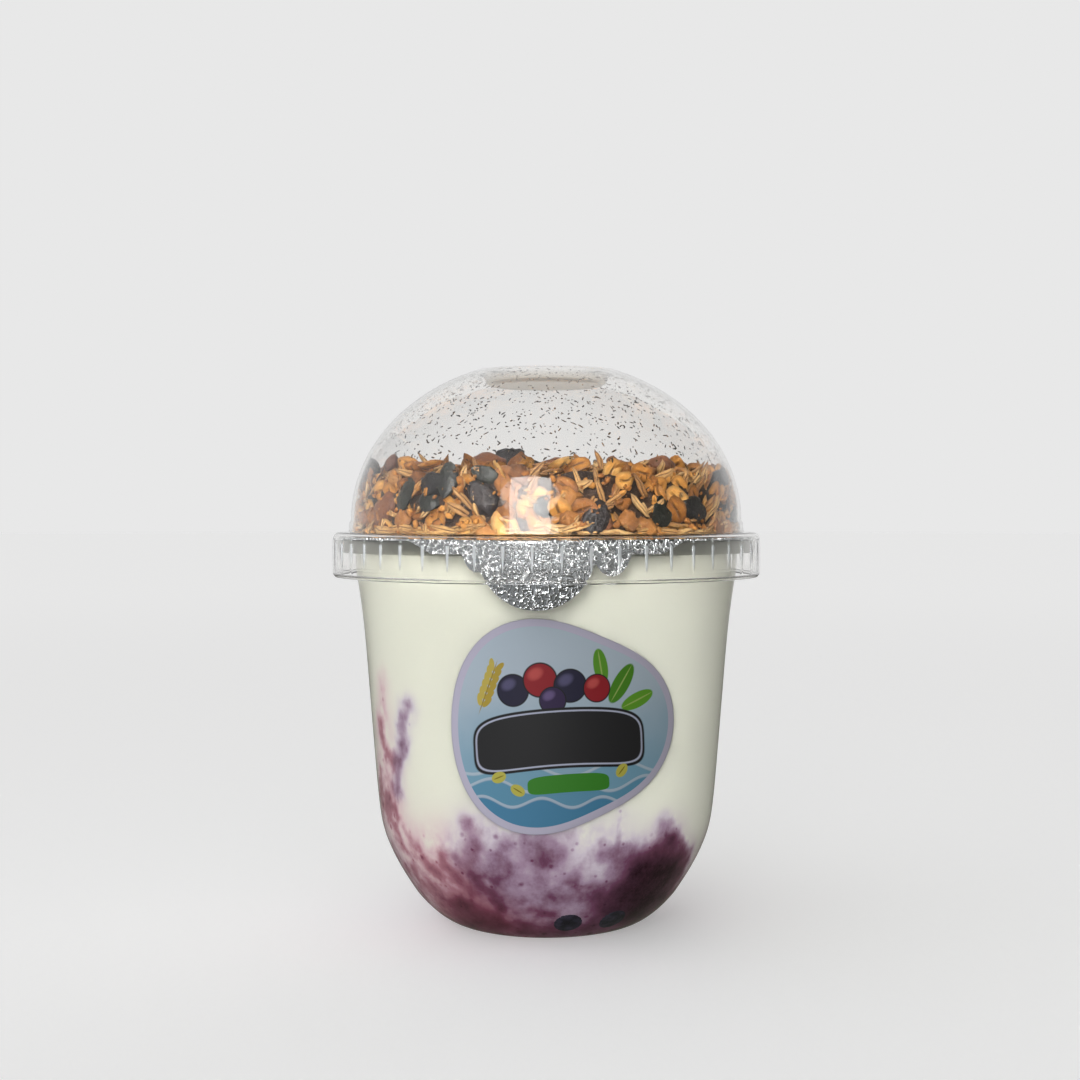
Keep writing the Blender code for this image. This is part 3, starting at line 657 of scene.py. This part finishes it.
label = shaped("label_sticker", 2 * LABEL_RINGS + 1, LABEL_COLUMNS, label_place)
marked(label, "along", lambda place: on_label(place)[0])
marked(label, "up", lambda place: on_label(place)[1])
marked(label, "inset", lambda place: on_label(place)[2])
label.data.materials.append(label_paint)
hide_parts("label")
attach(label, "root")

# A sheet of embossed aluminium foil is sealed over the cup's rim. Its cut edge is folded down
# outside the rim, deepest at the front, where two shoulders and a round pull tab hang.
FOIL_TOP, FOIL_RADIUS, FOIL_THICKNESS, FOIL_OUT = .0869, .0470, .00022, .04735
FOIL_FOLD_DEPTH, FOLD_REACH, FOLD_TAPER, FOLD_END_DEPTH = .0026, .0300, .0055, .0004
TAB_RADIUS, TAB_SHIFT, TAB_ROOT_DROP, TAB_LEAN, TAB_LEAN_START = .0119, -.0022, .0024, .09, .0060
SHOULDERS = ((-.0142, .0036, .0066), (.0132, .0045, .0074))
FOIL_DISC_RINGS, FOIL_FOLD_RINGS, FOIL_UNDER_RINGS, FOIL_COLUMNS = 26, 44, 6, 540
FOIL_CRUMPLE, FOIL_SEAL_DIP = .00006, .00010


def foil_drop(along):
    """How far down the foil hangs outside the rim, at this length round from the front."""
    drop = FOLD_END_DEPTH + FOIL_FOLD_DEPTH * min(max((FOLD_REACH - abs(along)) / FOLD_TAPER, 0), 1)
    if abs(along - TAB_SHIFT) < TAB_RADIUS:
        drop = max(drop, TAB_ROOT_DROP + math.sqrt(TAB_RADIUS ** 2 - (along - TAB_SHIFT) ** 2))
    for centre, half_width, depth in SHOULDERS:
        if abs(along - centre) < half_width:
            drop = max(drop, depth * math.sqrt(1 - ((along - centre) / half_width) ** 2))
    return drop


def foil_place(ring, side):
    """Out over the seal from its middle, down the fold, up behind it, and in under the seal."""
    down_start, back_start = FOIL_DISC_RINGS, FOIL_DISC_RINGS + FOIL_FOLD_RINGS
    under_start = back_start + FOIL_FOLD_RINGS
    if ring <= down_start:
        share = (ring / FOIL_DISC_RINGS) ** .7
        sway = FOIL_SEAL_DIP * noise.noise(
            Vector((math.sin(side) * share, math.cos(side) * share, 0)) * 9)
        return spot(side, FOIL_RADIUS * share, FOIL_TOP - FOIL_SEAL_DIP + sway)
    if ring > under_start:
        share = 1 - (ring - under_start) / FOIL_UNDER_RINGS
        return spot(side, (FOIL_OUT - FOIL_THICKNESS) * share, FOIL_TOP - FOIL_SEAL_DIP - FOIL_THICKNESS)
    outside = ring <= back_start
    share = (ring - down_start if outside else under_start - ring) / FOIL_FOLD_RINGS
    along = side * FOIL_RADIUS
    down = foil_drop(along) * share
    crumple = FOIL_CRUMPLE * noise.noise(Vector((along * 420, down * 420, 3)))
    radius = FOIL_OUT + crumple * min(down / .001, 1) - TAB_LEAN * max(0, down - TAB_LEAN_START)
    if not outside:
        radius -= FOIL_THICKNESS
        down = max(down - FOIL_THICKNESS * (share < 1), FOIL_THICKNESS)
    return spot(side, radius, FOIL_TOP - FOIL_SEAL_DIP - down)


def embossed_foil():
    """Bright aluminium, rolled with short curling ridges about 0.8 mm apart, with painted shade in its
    valleys.
    """
    material, shader, place = finish("foil_embossed", Metallic=1.0)
    worms = place.grain(1200, 0, .3)
    ridges = 1 - (worms - .5).sum("ABSOLUTE", worms - .5) * 6
    relief_and_shade = ridges.sum("MAXIMUM", ridges, 0.0)
    fine = place.grain(3200, 2, .5)
    bump = place.node("Bump", {}, {"Height": relief_and_shade + fine * .10, "Distance": .00032, "Strength": 1.0})
    bump.into(shader.inputs["Normal"])
    # The colour is dark in the valleys and bright on the ridges: painted shade, besides the bump.
    relief_and_shade.mixed(colour(150, 154, 156), colour(248, 250, 252)).into(shader.inputs["Base Color"])
    (.10 + fine * .12).into(shader.inputs["Roughness"])
    return material


foil = shaped("foil_sheet", FOIL_DISC_RINGS + 2 * FOIL_FOLD_RINGS + FOIL_UNDER_RINGS, FOIL_COLUMNS,
              foil_place)
foil.data.materials.append(embossed_foil())
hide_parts("foil_seal")
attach(foil, "root")

# Granola is heaped on the foil inside the lid. Under the loose pieces that are modelled one by
# one, a packed core of crumbs and small bits closes the gaps between them. It is painted dark,
# a painted shade for the deep gaps.
LID_WALL = .0006
DOME_RADIUS, DOME_FOOT, DOME_HALF_HEIGHT, DOME_TOP = .0445, .0905, .0366, .1246
COLLAR_RADIUS, COLLAR_TOP, FLANGE_TOP = .0449, .0898, .0878
GRANOLA_HEIGHT, GRANOLA_CROWN, GRANOLA_UNEVEN = .0134, .0016, .0010
GRANOLA_GAP, CORE_DEPTH = .00012, .0017
CORE_FLOOR_RINGS, CORE_WALL_RINGS, CORE_TOP_RINGS, CORE_COLUMNS = 3, 26, 40, 260
random.seed(41)


def inside_of_lid(height):
    """How far out the inner face of the lid is at this height."""
    if height < COLLAR_TOP:
        return COLLAR_RADIUS - LID_WALL
    rise = max(height - DOME_FOOT, 0) / (DOME_HALF_HEIGHT - LID_WALL)
    return (DOME_RADIUS - LID_WALL) * math.sqrt(max(1 - rise * rise, 0))


def heap_top(side, radius):
    """The height of the granola's top at this place: nearly level, with hills and hollows."""
    out = radius / COLLAR_RADIUS
    waves = out * (math.sin(3 * side + 9 * out) + math.sin(7 * side) / 2)
    lumps = noise.noise(Vector((radius * math.sin(side), radius * math.cos(side), .7)) * 90)
    return (FOIL_TOP + GRANOLA_HEIGHT + GRANOLA_CROWN * (1 - out * out)
            + GRANOLA_UNEVEN * (waves + 1.6 * lumps))


def kept_inside(point):
    """The same place, or the nearest one that touches neither the lid nor the foil."""
    height = max(point.z, FOIL_TOP + GRANOLA_GAP)
    radius = math.hypot(point.x, point.y)
    most = inside_of_lid(height) - GRANOLA_GAP
    pull = min(most / radius, 1) if radius > 0 else 1
    return Vector((point.x * pull, point.y * pull, height))


def core_place(ring, side):
    """Out over the foil, up beside the lid, and in over the heap's top, all a little way inside."""
    if ring <= CORE_FLOOR_RINGS:
        radius = (COLLAR_RADIUS - LID_WALL - CORE_DEPTH) * ring / CORE_FLOOR_RINGS
        return spot(side, radius, FOIL_TOP + GRANOLA_GAP)
    top = heap_top(side, COLLAR_RADIUS * .9) - CORE_DEPTH
    rise = min((ring - CORE_FLOOR_RINGS) / CORE_WALL_RINGS, 1)
    height = FOIL_TOP + GRANOLA_GAP + (top - FOIL_TOP - GRANOLA_GAP) * rise
    radius = inside_of_lid(height) - CORE_DEPTH
    if ring > CORE_FLOOR_RINGS + CORE_WALL_RINGS:
        share = 1 - (ring - CORE_FLOOR_RINGS - CORE_WALL_RINGS) / CORE_TOP_RINGS
        radius *= share
        height = heap_top(side, radius) - CORE_DEPTH
        height += (top - height) * share ** 12
    place = spot(side, radius, height)
    lumps = noise.noise(place * 420) * .0009 + noise.noise(place * 1100) * .0005
    middle = Vector((0, 0, FOIL_TOP + GRANOLA_HEIGHT / 2))
    return kept_inside(place + (place - middle).normalized() * lumps)


def toasted(name, stops, grain_scale, rim_tint, gloss, seam_depth=0):
    """Toasted grain: each piece has its own tone, with fine bran, pale dust, a dark rim and a seam."""
    material, shader, place = finish(name, Specular_IOR_Level=.35, Sheen_Weight=.05)
    tone = place.node("Attribute", {"attribute_name": "tone"}, {}, output="Fac")
    rim = place.node("Attribute", {"attribute_name": "rim"}, {}, output="Fac")
    bran = place.grain(grain_scale, 4, .65)
    patches = place.grain(grain_scale / 5, 3, .6)
    amount = tone * .62 + (bran - .5) * .55 + (patches - .5) * .7 + .2
    base = amount.node("ValToRGB", {"stops": stops}, {"Fac": amount})
    edged = (rim.between(.62, 1.05) * (patches * .9 + .1)).mixed(base, rim_tint)
    seam = place.node("Attribute", {"attribute_name": "seam"}, {}, output="Fac").between(.20, .04)
    edged = (seam * seam_depth * rim.between(.95, .7)).mixed(edged, rim_tint)
    dust = place.grain(grain_scale * 2.3, 2, .5)
    dusted = (dust.between(.66, .76) * .35).mixed(edged, colour(214, 190, 146))
    dusted.into(shader.inputs["Base Color"])
    (gloss + bran * .3).into(shader.inputs["Roughness"])
    bump = place.node("Bump", {}, {"Height": bran + dust * .3 - seam * seam_depth, "Distance": .00030,
                                   "Strength": 1.0})
    bump.into(shader.inputs["Normal"])
    return material


GOLDEN = ((.0, colour(96, 54, 18)), (.35, colour(164, 102, 36)), (.65, colour(212, 148, 64)),
          (1.0, colour(236, 190, 114)))
TOAST_RIM = colour(72, 40, 18)
# The core's colours are dark: painted shade deep in the gaps between the loose pieces.
SHADED = ((.0, colour(30, 18, 9)), (.5, colour(66, 40, 18)), (1.0, colour(112, 74, 38)))
core = shaped("granola_core", CORE_FLOOR_RINGS + CORE_WALL_RINGS + CORE_TOP_RINGS, CORE_COLUMNS,
              core_place)
marked(core, "tone", lambda place: .02 + .25 * noise.noise(place * 300))
core.data.materials.append(toasted("granola_core_shade", SHADED, 900, TOAST_RIM, .6))
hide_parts("granola")
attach(core, "root")


def rounded_bit(name, half_sizes, sides, bands, form):
    """One bit of granola: a ball drawn to these half sizes, its points then moved by the form."""
    bpy.ops.object.select_all(action="DESELECT")
    bpy.ops.mesh.primitive_uv_sphere_add(segments=sides, ring_count=bands, radius=1)
    bpy.ops.object.mode_set(mode="EDIT")
    bpy.ops.mesh.select_all(action="SELECT")
    bpy.ops.transform.resize(value=half_sizes)
    bpy.ops.object.mode_set(mode="OBJECT")
    bit = bpy.context.object
    bit.name = name
    for point in bit.data.vertices:
        point.co = form(point.co.copy())
    return bit


def creased(place):
    """A rolled oat: flat, notched and grooved down its middle, with its edge curled up a little."""
    groove = math.exp(-(place.y / .00055) ** 2) * (.00036 if place.z > 0 else -.00010)
    curl = 42 * place.y * place.y + 9 * place.x * place.x
    notch = 1 - .16 * math.exp(-((place.x - .0038) / .0009) ** 2) * math.exp(-(place.y / .0008) ** 2)
    return Vector((place.x * notch, place.y, place.z - groove + curl))


def bowed(place):
    """A long oat grain: pointed, a little bowed, with a groove down one side."""
    taper = 1 - .35 * (place.x / .0046) ** 2
    groove = .0003 * math.exp(-(place.y / .0003) ** 2) * (place.z > 0)
    return Vector((place.x, place.y * taper, place.z * taper - groove + 22 * place.x * place.x))


def lumped(place):
    """A clump of crumbs stuck together with syrup."""
    swell = 1 + .34 * noise.noise(place * 620) + .22 * noise.noise(place * 1500)
    return place * swell


def pointed(place):
    """A kernel: round at one end and drawn to a point at the other."""
    narrow = 1 - .42 * max(place.x / .0055, 0) ** 1.6
    return Vector((place.x, place.y * narrow, place.z * narrow))


def wrinkled(place):
    """Dried fruit: folded and shrunk."""
    folds = abs(noise.noise(place * 1200 + Vector((5, 2, 9))))
    return place * (1 + .20 * noise.noise(place * 700) - .26 * folds)


def strewn(name, bit, laid, material):
    """Copies of one bit as one piece. Each copy is turned, sized, kept inside the lid, and toned."""
    half = max(abs(point.co.x) for point in bit.data.vertices)
    wide = max(abs(point.co.y) for point in bit.data.vertices)
    points, faces, tones, rims, seams = [], [], [], [], []
    for number, (middle, facing, roll, size, tone) in enumerate(laid):
        turn = facing.to_track_quat("Z", "Y").to_matrix() @ Matrix.Rotation(roll, 3, "Z")
        first, drift = len(points), Vector((number * 1.7, number * .31, 4))
        for point in bit.data.vertices:
            wobble = noise.noise_vector(point.co * 260 + drift) * half * .16
            points.append(kept_inside(middle + turn @ ((point.co + wobble) * size)))
            tones.append(tone)
            rims.append(math.hypot(point.co.x / half, point.co.y / wide))
            seams.append(abs(point.co.y) / wide)
        faces.extend([first + corner for corner in face.vertices] for face in bit.data.polygons)
    heap = bpy.data.objects.new(name, bpy.data.meshes.new(name))
    heap.data.from_pydata(points, [], faces)
    for mark, values in (("tone", tones), ("rim", rims), ("seam", seams)):
        heap.data.attributes.new(mark, "FLOAT", "POINT").data.foreach_set("value", values)
    bpy.context.scene.collection.objects.link(heap)
    bpy.ops.object.select_all(action="DESELECT")
    bpy.context.view_layer.objects.active = heap
    heap.select_set(True)
    bpy.ops.object.shade_smooth_by_angle(angle=math.radians(60))
    heap.data.materials.append(material)
    bpy.data.objects.remove(bit)
    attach(heap, "root")
    return heap


def at_wall(side, height, depth, tilt):
    """A place beside the lid and the way a flat bit faces there, leaning by up to this tilt."""
    radius = inside_of_lid(height) - depth
    middle = spot(side, radius, height)
    out = Vector((middle.x, middle.y, 0)).normalized()
    lean = Vector([random.uniform(-tilt, tilt) for _ in range(3)])
    return middle, (out + lean).normalized()


def on_top(side, radius, lift, tilt):
    """A place on the heap and the way a flat bit faces there, leaning by up to this tilt."""
    middle = spot(side, radius, heap_top(side, radius) + lift)
    lean = Vector([random.uniform(-tilt, tilt) for _ in range(3)])
    return middle, (Vector((0, 0, 1)) + lean).normalized()


# Every place for a bit is drawn first: rows round the wall, then rings over the top, each place
# a little off its row. A place then goes to one kind of bit, as often as the kind is seen.
KINDS = ("flake", "grain", "clump", "kernel", "seed", "fruit")
WALL_SHARES, TOP_SHARES = (40, 45, 5, 3, 4, 3), (42, 44, 6, 3, 3, 2)
WALL_ROWS, WALL_ROW_START, WALL_ROW_RISE, WALL_SPACING = 6, .0012, .0023, .0039
TOP_SPACING, TOP_REACH, SETTLED_GRAINS = .0038, .0415, 90
CRUMBS, CRUMB_REACH, CRUMB_HEIGHT = 900, .042, .0138
WALL_TILTS, TOP_TILT = {"flake": .45, "grain": .7}, .75
laid = {kind: [] for kind in KINDS}
for row in range(WALL_ROWS):
    height = FOIL_TOP + WALL_ROW_START + row * WALL_ROW_RISE
    around = round(math.tau * inside_of_lid(height) / WALL_SPACING)
    for number in range(around):
        side = math.tau * (number + .5 * (row % 2) + random.uniform(-.35, .35)) / around
        kind = random.choices(KINDS, WALL_SHARES)[0]
        middle, facing = at_wall(side, height + random.uniform(-.001, .001),
                                 random.uniform(.0007, .0026), WALL_TILTS.get(kind, .6))
        laid[kind].append((middle, facing, random.uniform(0, math.tau), random.uniform(.72, 1.05),
                           random.random()))
ring = 0
while ring * TOP_SPACING < TOP_REACH:
    radius = ring * TOP_SPACING + .001
    around = max(round(math.tau * radius / TOP_SPACING), 3)
    for number in range(around):
        side = math.tau * (number + random.uniform(-.4, .4)) / around
        kind = random.choices(KINDS, TOP_SHARES)[0]
        middle, facing = on_top(side, radius + random.uniform(-.001, .001),
                                random.uniform(-.0013, .0007), TOP_TILT)
        laid[kind].append((middle, facing, random.uniform(0, math.tau), random.uniform(.72, 1.08),
                           random.random()))
    ring += 1
# Crumbs lie in every gap, most of them low beside the wall.
crumbs = []
for number in range(CRUMBS):
    if number % 3:
        height = FOIL_TOP + CRUMB_HEIGHT * random.random() ** 1.3
        middle, facing = at_wall(random.uniform(-math.pi, math.pi), height,
                                 random.uniform(.0004, .0016), 1)
    else:
        middle, facing = on_top(random.uniform(-math.pi, math.pi),
                                CRUMB_REACH * math.sqrt(random.random()),
                                random.uniform(-.0008, .0004), 1)
    crumbs.append((middle, facing, random.uniform(0, math.tau), random.uniform(.5, 1.4),
                   .7 * random.random()))
# Thin grains lie level along the bottom of the wall, as loose oats settle there.
for number in range(SETTLED_GRAINS):
    side = math.tau * number / SETTLED_GRAINS + random.uniform(-.02, .02)
    middle, facing = at_wall(side, FOIL_TOP + random.uniform(.0006, .0026),
                             random.uniform(.0004, .0014), .25)
    laid["grain"].append((middle, facing, random.gauss(0, .25), random.uniform(.8, 1.1),
                          random.uniform(.5, 1)))

flake = rounded_bit("flake", (.0037, .0026, .00050), 14, 6, creased)
grain = rounded_bit("grain", (.0040, .00090, .00065), 8, 8, bowed)
clump = rounded_bit("clump", (.0030, .0025, .0022), 14, 11, lumped)
crumb = rounded_bit("crumb", (.00085, .0006, .00045), 6, 4, lumped)
kernel = rounded_bit("kernel", (.0055, .0036, .0024), 12, 8, pointed)
seed = rounded_bit("seed", (.0050, .0028, .0010), 12, 7, pointed)
fruit = rounded_bit("fruit", (.0050, .0034, .0027), 16, 11, wrinkled)
strewn("oat_flakes", flake, laid["flake"], toasted("oat_toasted", GOLDEN, 700, TOAST_RIM, .45, .75))
PALE = ((.0, colour(112, 72, 36)), (.4, colour(170, 122, 68)), (.7, colour(208, 164, 102)),
        (1.0, colour(228, 194, 142)))
strewn("oat_grains", grain, laid["grain"], toasted("oat_pale", PALE, 900, colour(98, 60, 30), .45, .7))
strewn("granola_crumbs", crumb, crumbs, toasted("crumb_toasted", GOLDEN, 1500, TOAST_RIM, .5))
CLUMP = ((.0, colour(80, 44, 18)), (.4, colour(132, 80, 32)), (.75, colour(172, 114, 52)),
         (1.0, colour(200, 148, 84)))
strewn("granola_clumps", clump, laid["clump"], toasted("granola_clumped", CLUMP, 800, TOAST_RIM, .5))
NUT = ((.0, colour(72, 38, 22)), (.5, colour(110, 64, 36)), (1.0, colour(146, 94, 56)))
strewn("nut_kernels", kernel, laid["kernel"], toasted("nut_skin", NUT, 1100, colour(80, 38, 18), .4))
SEED = ((.0, colour(10, 12, 9)), (.6, colour(24, 27, 20)), (1.0, colour(50, 54, 38)))
strewn("dark_seeds", seed, laid["seed"], toasted("seed_skin", SEED, 700, colour(30, 30, 24), .3))
FRUIT = ((.0, colour(10, 8, 9)), (.6, colour(22, 17, 18)), (1.0, colour(44, 33, 31)))
strewn("dried_fruit", fruit, laid["fruit"], toasted("fruit_skin", FRUIT, 900, colour(24, 18, 20), .3))

# The lid is thin clear plastic: a skirt that slips over the cup's rim, a flat flange, a short
# collar and a dome with a dished top. Upright ribs pressed into the skirt grip the rim.
SKIRT_RADIUS, SKIRT_BOTTOM, HEM_TUCK, SHOULDER = .0486, .0778, .0005, .0016
RECESS_RADIUS, RECESS_SLANT, RECESS_DEPTH, RECESS_ROUNDING = .0132, .0009, .0024, .0012
RECESS_FLOOR_IN, RECESS_FLOOR_SAG = .0004, .0003
RIBS, RIB_COLUMNS, RIB_DEPTH, RIB_SHIFT = 51, 12, .00012, -6
RIB_FOOT, RIB_HEAD, RIB_ROWS, RIB_HALF_WIDTH = .0784, .0861, 7, 1.2
DOME_STEPS, DOME_EASING, SHOULDER_STEPS = 40, 1.25, 4


def lid_outside():
    """The outside of the lid as (radius, height), from its hem up to the middle of its dished top."""
    path = [(SKIRT_RADIUS - HEM_TUCK, SKIRT_BOTTOM),
            (SKIRT_RADIUS - HEM_TUCK / 4, SKIRT_BOTTOM + HEM_TUCK)]
    for step in range(RIB_ROWS + 1):
        path.append((SKIRT_RADIUS, RIB_FOOT + (RIB_HEAD - RIB_FOOT) * step / RIB_ROWS))
    for step in range(SHOULDER_STEPS + 1):
        turn = math.pi / 2 * step / SHOULDER_STEPS
        path.append((SKIRT_RADIUS - SHOULDER * (1 - math.cos(turn)),
                     FLANGE_TOP - SHOULDER * (1 - math.sin(turn))))
    path += [(COLLAR_RADIUS + HEM_TUCK, FLANGE_TOP),
             (COLLAR_RADIUS + HEM_TUCK / 4, FLANGE_TOP + HEM_TUCK / 4),
             (COLLAR_RADIUS, FLANGE_TOP + HEM_TUCK), (COLLAR_RADIUS, COLLAR_TOP)]
    last = math.asin((DOME_TOP - DOME_FOOT) / DOME_HALF_HEIGHT)
    for step in range(DOME_STEPS + 1):
        turn = last * (1 - (1 - step / DOME_STEPS) ** DOME_EASING)
        path.append((DOME_RADIUS * math.cos(turn), DOME_FOOT + DOME_HALF_HEIGHT * math.sin(turn)))
    lip, sunk = RECESS_RADIUS + RECESS_SLANT, DOME_TOP - RECESS_DEPTH - RECESS_FLOOR_SAG
    path += [(lip + RECESS_ROUNDING, DOME_TOP),
             (lip + RECESS_ROUNDING * .3, DOME_TOP - RECESS_ROUNDING * .1),
             (lip, DOME_TOP - RECESS_ROUNDING * .4), (RECESS_RADIUS, DOME_TOP - RECESS_DEPTH),
             (RECESS_RADIUS - RECESS_FLOOR_IN, sunk)]
    path += [(RECESS_RADIUS * share, sunk) for share in (.75, .5, .25, 0)]
    return path


lid = turned("dome_lid_clear", walled(lid_outside(), LID_WALL), RIBS * RIB_COLUMNS)
# The pressed mark is strongest on each rib's crest and towards its top; the lid's material paints white
# highlight lines there.
pressed = lid.data.attributes.new("pressed", "FLOAT", "POINT")
for point in lid.data.vertices:
    radius = math.hypot(point.co.x, point.co.y)
    if radius < SKIRT_RADIUS - LID_WALL - HEM_TUCK or not RIB_FOOT < point.co.z < RIB_HEAD:
        continue
    column = math.atan2(point.co.x, -point.co.y) / math.tau * RIBS * RIB_COLUMNS - RIB_SHIFT
    off = abs(column / RIB_COLUMNS - round(column / RIB_COLUMNS)) * RIB_COLUMNS
    crest = max(1 - off / RIB_HALF_WIDTH, 0)
    rise = (point.co.z - RIB_FOOT) / (RIB_HEAD - RIB_FOOT)
    pressed.data[point.index].value = crest * (.25 + .75 * rise)
    push = RIB_DEPTH * crest * min(rise * 1.3, 1) * min((1 - rise) * 6, 1)
    point.co *= 1 - push / radius
    point.co.z /= 1 - push / radius
lid = faced_out(lid)
marked(lid, "frosted", lambda place: math.hypot(place.x, place.y) < RECESS_RADIUS + RECESS_SLANT * .8)
lid.data.materials.append(
    clear_plastic("lid_pet", (.985, .98, .97, 1), .45, .015, colour(234, 226, 212), 60))
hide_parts("dome_lid")
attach(lid, "root")

# Fine dark bran and seed dust clings to the inside of the dome, thicker towards its top. Every
# fleck is a tiny flat splinter.
FLECKS, FLECK_LOWEST, FLECK_SPREAD, FLECK_THICKNESS, FLECK_GAP = 1300, 14, 54, .00005, .00007
FLECK_LENGTHS = (.00018, .00024, .00032, .00046, .00070)
bpy.ops.object.select_all(action="DESELECT")
bpy.ops.mesh.primitive_ico_sphere_add(subdivisions=1, radius=1)
splinter = bpy.context.object
points, faces = [], []
while len(points) < FLECKS * len(splinter.data.vertices):
    rise = random.random() ** .8
    turn = math.radians(FLECK_LOWEST + FLECK_SPREAD * rise)
    side = random.uniform(-math.pi, math.pi)
    radius = (DOME_RADIUS - LID_WALL) * math.cos(turn)
    height = DOME_FOOT + (DOME_HALF_HEIGHT - LID_WALL) * math.sin(turn)
    if random.random() > radius / DOME_RADIUS * (.55 + .45 * rise):
        continue
    middle = spot(side, radius, height)
    inward = Vector((middle.x / DOME_RADIUS ** 2, middle.y / DOME_RADIUS ** 2,
                     (height - DOME_FOOT) / DOME_HALF_HEIGHT ** 2)).normalized() * -1
    long = random.choice(FLECK_LENGTHS) * random.uniform(.8, 1.2)
    wide = min(long, random.uniform(.00013, .00024))
    roll = Matrix.Rotation(random.uniform(0, math.tau), 3, "Z")
    turn_to = inward.to_track_quat("Z", "Y").to_matrix() @ roll
    first = len(points)
    for point in splinter.data.vertices:
        thin = Vector((point.co.x * long, point.co.y * wide, point.co.z * FLECK_THICKNESS))
        points.append(middle + inward * FLECK_GAP + turn_to @ thin)
    faces.extend([first + corner for corner in face.vertices] for face in splinter.data.polygons)
bpy.data.objects.remove(splinter)
flecks = bpy.data.objects.new("bran_flecks", bpy.data.meshes.new("bran_flecks"))
flecks.data.from_pydata(points, [], faces)
bpy.context.scene.collection.objects.link(flecks)
fleck_finish, fleck_shader, place = finish("bran_dark", Roughness=.7, Specular_IOR_Level=.2)
speckle = place.grain(260, 3, .6)
speckle.between(.35, .7).mixed(colour(16, 14, 12), colour(84, 62, 38)).into(
    fleck_shader.inputs["Base Color"])
flecks.data.materials.append(fleck_finish)
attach(flecks, "root")

# The floor is a plain pale sheet that catches the parfait's shadow and lights nothing itself. The
# room lights the parfait from behind and from the left, and is dim at the right front. Where it
# is seen itself, or through the plastic, it is the same pale grey all round.
FLOOR_RADIUS, FLOOR_SIDES = 6.0, 96
FLOOR_GLOW_NEAR, FLOOR_GLOW_FAR = (.31, .31, .31, 1), (.345, .345, .345, 1)
GLOW_NEAR, GLOW_FAR = .2, 1.6
BACKDROP, BRIGHT_SIDE, DIM_SIDE = colour(232, 232, 232), (.76, .76, .77, 1), (.115, .113, .094, 1)
TOWARDS_BRIGHT = Vector((-.82, -.44, .42)).normalized()
TOWARDS_WINDOW, WINDOW_GLINT = Vector((-.163, -.923, .349)), 25
bpy.ops.object.select_all(action="DESELECT")
bpy.ops.mesh.primitive_circle_add(vertices=FLOOR_SIDES, radius=FLOOR_RADIUS, fill_type="NGON")
floor = bpy.context.object
floor.name = "floor"
floor_paint, floor_shader, place = finish("floor_paper", Base_Color=(.8, .8, .8, 1), Roughness=.9,
                                          Specular_IOR_Level=0.0, Emission_Strength=1.0)
far = place.node("VectorMath", {"operation": "LENGTH"}, {0: place}, output="Value")
far = far.between(GLOW_NEAR, GLOW_FAR)
far.mixed(FLOOR_GLOW_NEAR, FLOOR_GLOW_FAR).into(floor_shader.inputs["Emission Color"])
floor.data.materials.append(floor_paint)
floor.visible_diffuse = floor.visible_glossy = False
world = bpy.data.worlds.new("pale_room")
world.use_nodes = True
bpy.context.scene.world = world
towards = Wire(world.node_tree.nodes.new("ShaderNodeTexCoord").outputs["Generated"])
behind = (towards.node("SeparateXYZ", {}, {"Vector": towards}, output="Y").between(.25, .7)
          * towards.node("SeparateXYZ", {}, {"Vector": towards}, output="Z").between(-.12, -.02))
brightness = towards.node("VectorMath", {"operation": "DOT_PRODUCT"}, {0: towards, 1: TOWARDS_BRIGHT},
                          output="Value").between(-.4, .95)
lit = behind.mixed(brightness.mixed(DIM_SIDE, BRIGHT_SIDE), BACKDROP)
mirrored = towards.node("LightPath", {}, {}, output="Glossy Depth").between(0, 1)
through = towards.node("LightPath", {}, {}, output="Is Transmission Ray")
seen = towards.node("LightPath", {}, {}, output="Is Camera Ray") + through * (1 - mirrored)
seen.mixed(lit, BACKDROP).into(world.node_tree.nodes["Background"].inputs["Color"])
# The window glints in the foil where that is seen through the lid's skirt.
window = towards.node("VectorMath", {"operation": "DOT_PRODUCT"}, {0: towards, 1: TOWARDS_WINDOW},
                      output="Value").between(.955, .967)
(1 + window * through * mirrored * WINDOW_GLINT).into(
    world.node_tree.nodes["Background"].inputs["Strength"])


def soft_light(name, place, aim, size, watts):
    """A flat rectangular light at this place, turned to face its aim. It isn't seen itself."""
    lamp = bpy.data.objects.new(name, bpy.data.lights.new(name, "AREA"))
    lamp.data.shape, lamp.data.size, lamp.data.size_y = "RECTANGLE", size[0], size[1]
    lamp.data.energy = watts
    lamp.location = place
    lamp.rotation_euler = (Vector(aim) - Vector(place)).to_track_quat("-Z", "Y").to_euler()
    lamp.visible_camera = lamp.visible_transmission = False
    bpy.context.scene.collection.objects.link(lamp)
    return lamp


# One window at the front left. Its glare shows in the lid and the foil, and its daylight is soft.
WINDOW_PLACE, WINDOW_AIM, WINDOW_SIZE = (-.096, -.588, .285), (0, 0, .09), (.24, .35)
GLARE_WATTS, DAYLIGHT_WATTS = 4.4, .5
glare = soft_light("window_glare", WINDOW_PLACE, WINDOW_AIM, WINDOW_SIZE, GLARE_WATTS)
glare.visible_diffuse = False
daylight = soft_light("window_daylight", WINDOW_PLACE, WINDOW_AIM, WINDOW_SIZE, DAYLIGHT_WATTS)
daylight.visible_glossy = False

# The camera looks level from the photograph's viewing angle, a little above the lid's flange.
CAMERA_PLACE, CAMERA_LENS, CAMERA_SHIFT = (-.0014, -.378, .0932), 54.93, -32 / 1080
camera = bpy.data.objects.new("camera", bpy.data.cameras.new("camera"))
camera.location = CAMERA_PLACE
camera.rotation_euler = (math.pi / 2, 0, 0)
camera.data.sensor_width, camera.data.lens, camera.data.shift_y = 36, CAMERA_LENS, CAMERA_SHIFT
camera.data.clip_start = .01
bpy.context.scene.collection.objects.link(camera)
bpy.context.scene.camera = camera
bpy.context.scene.view_settings.view_transform = "Standard"
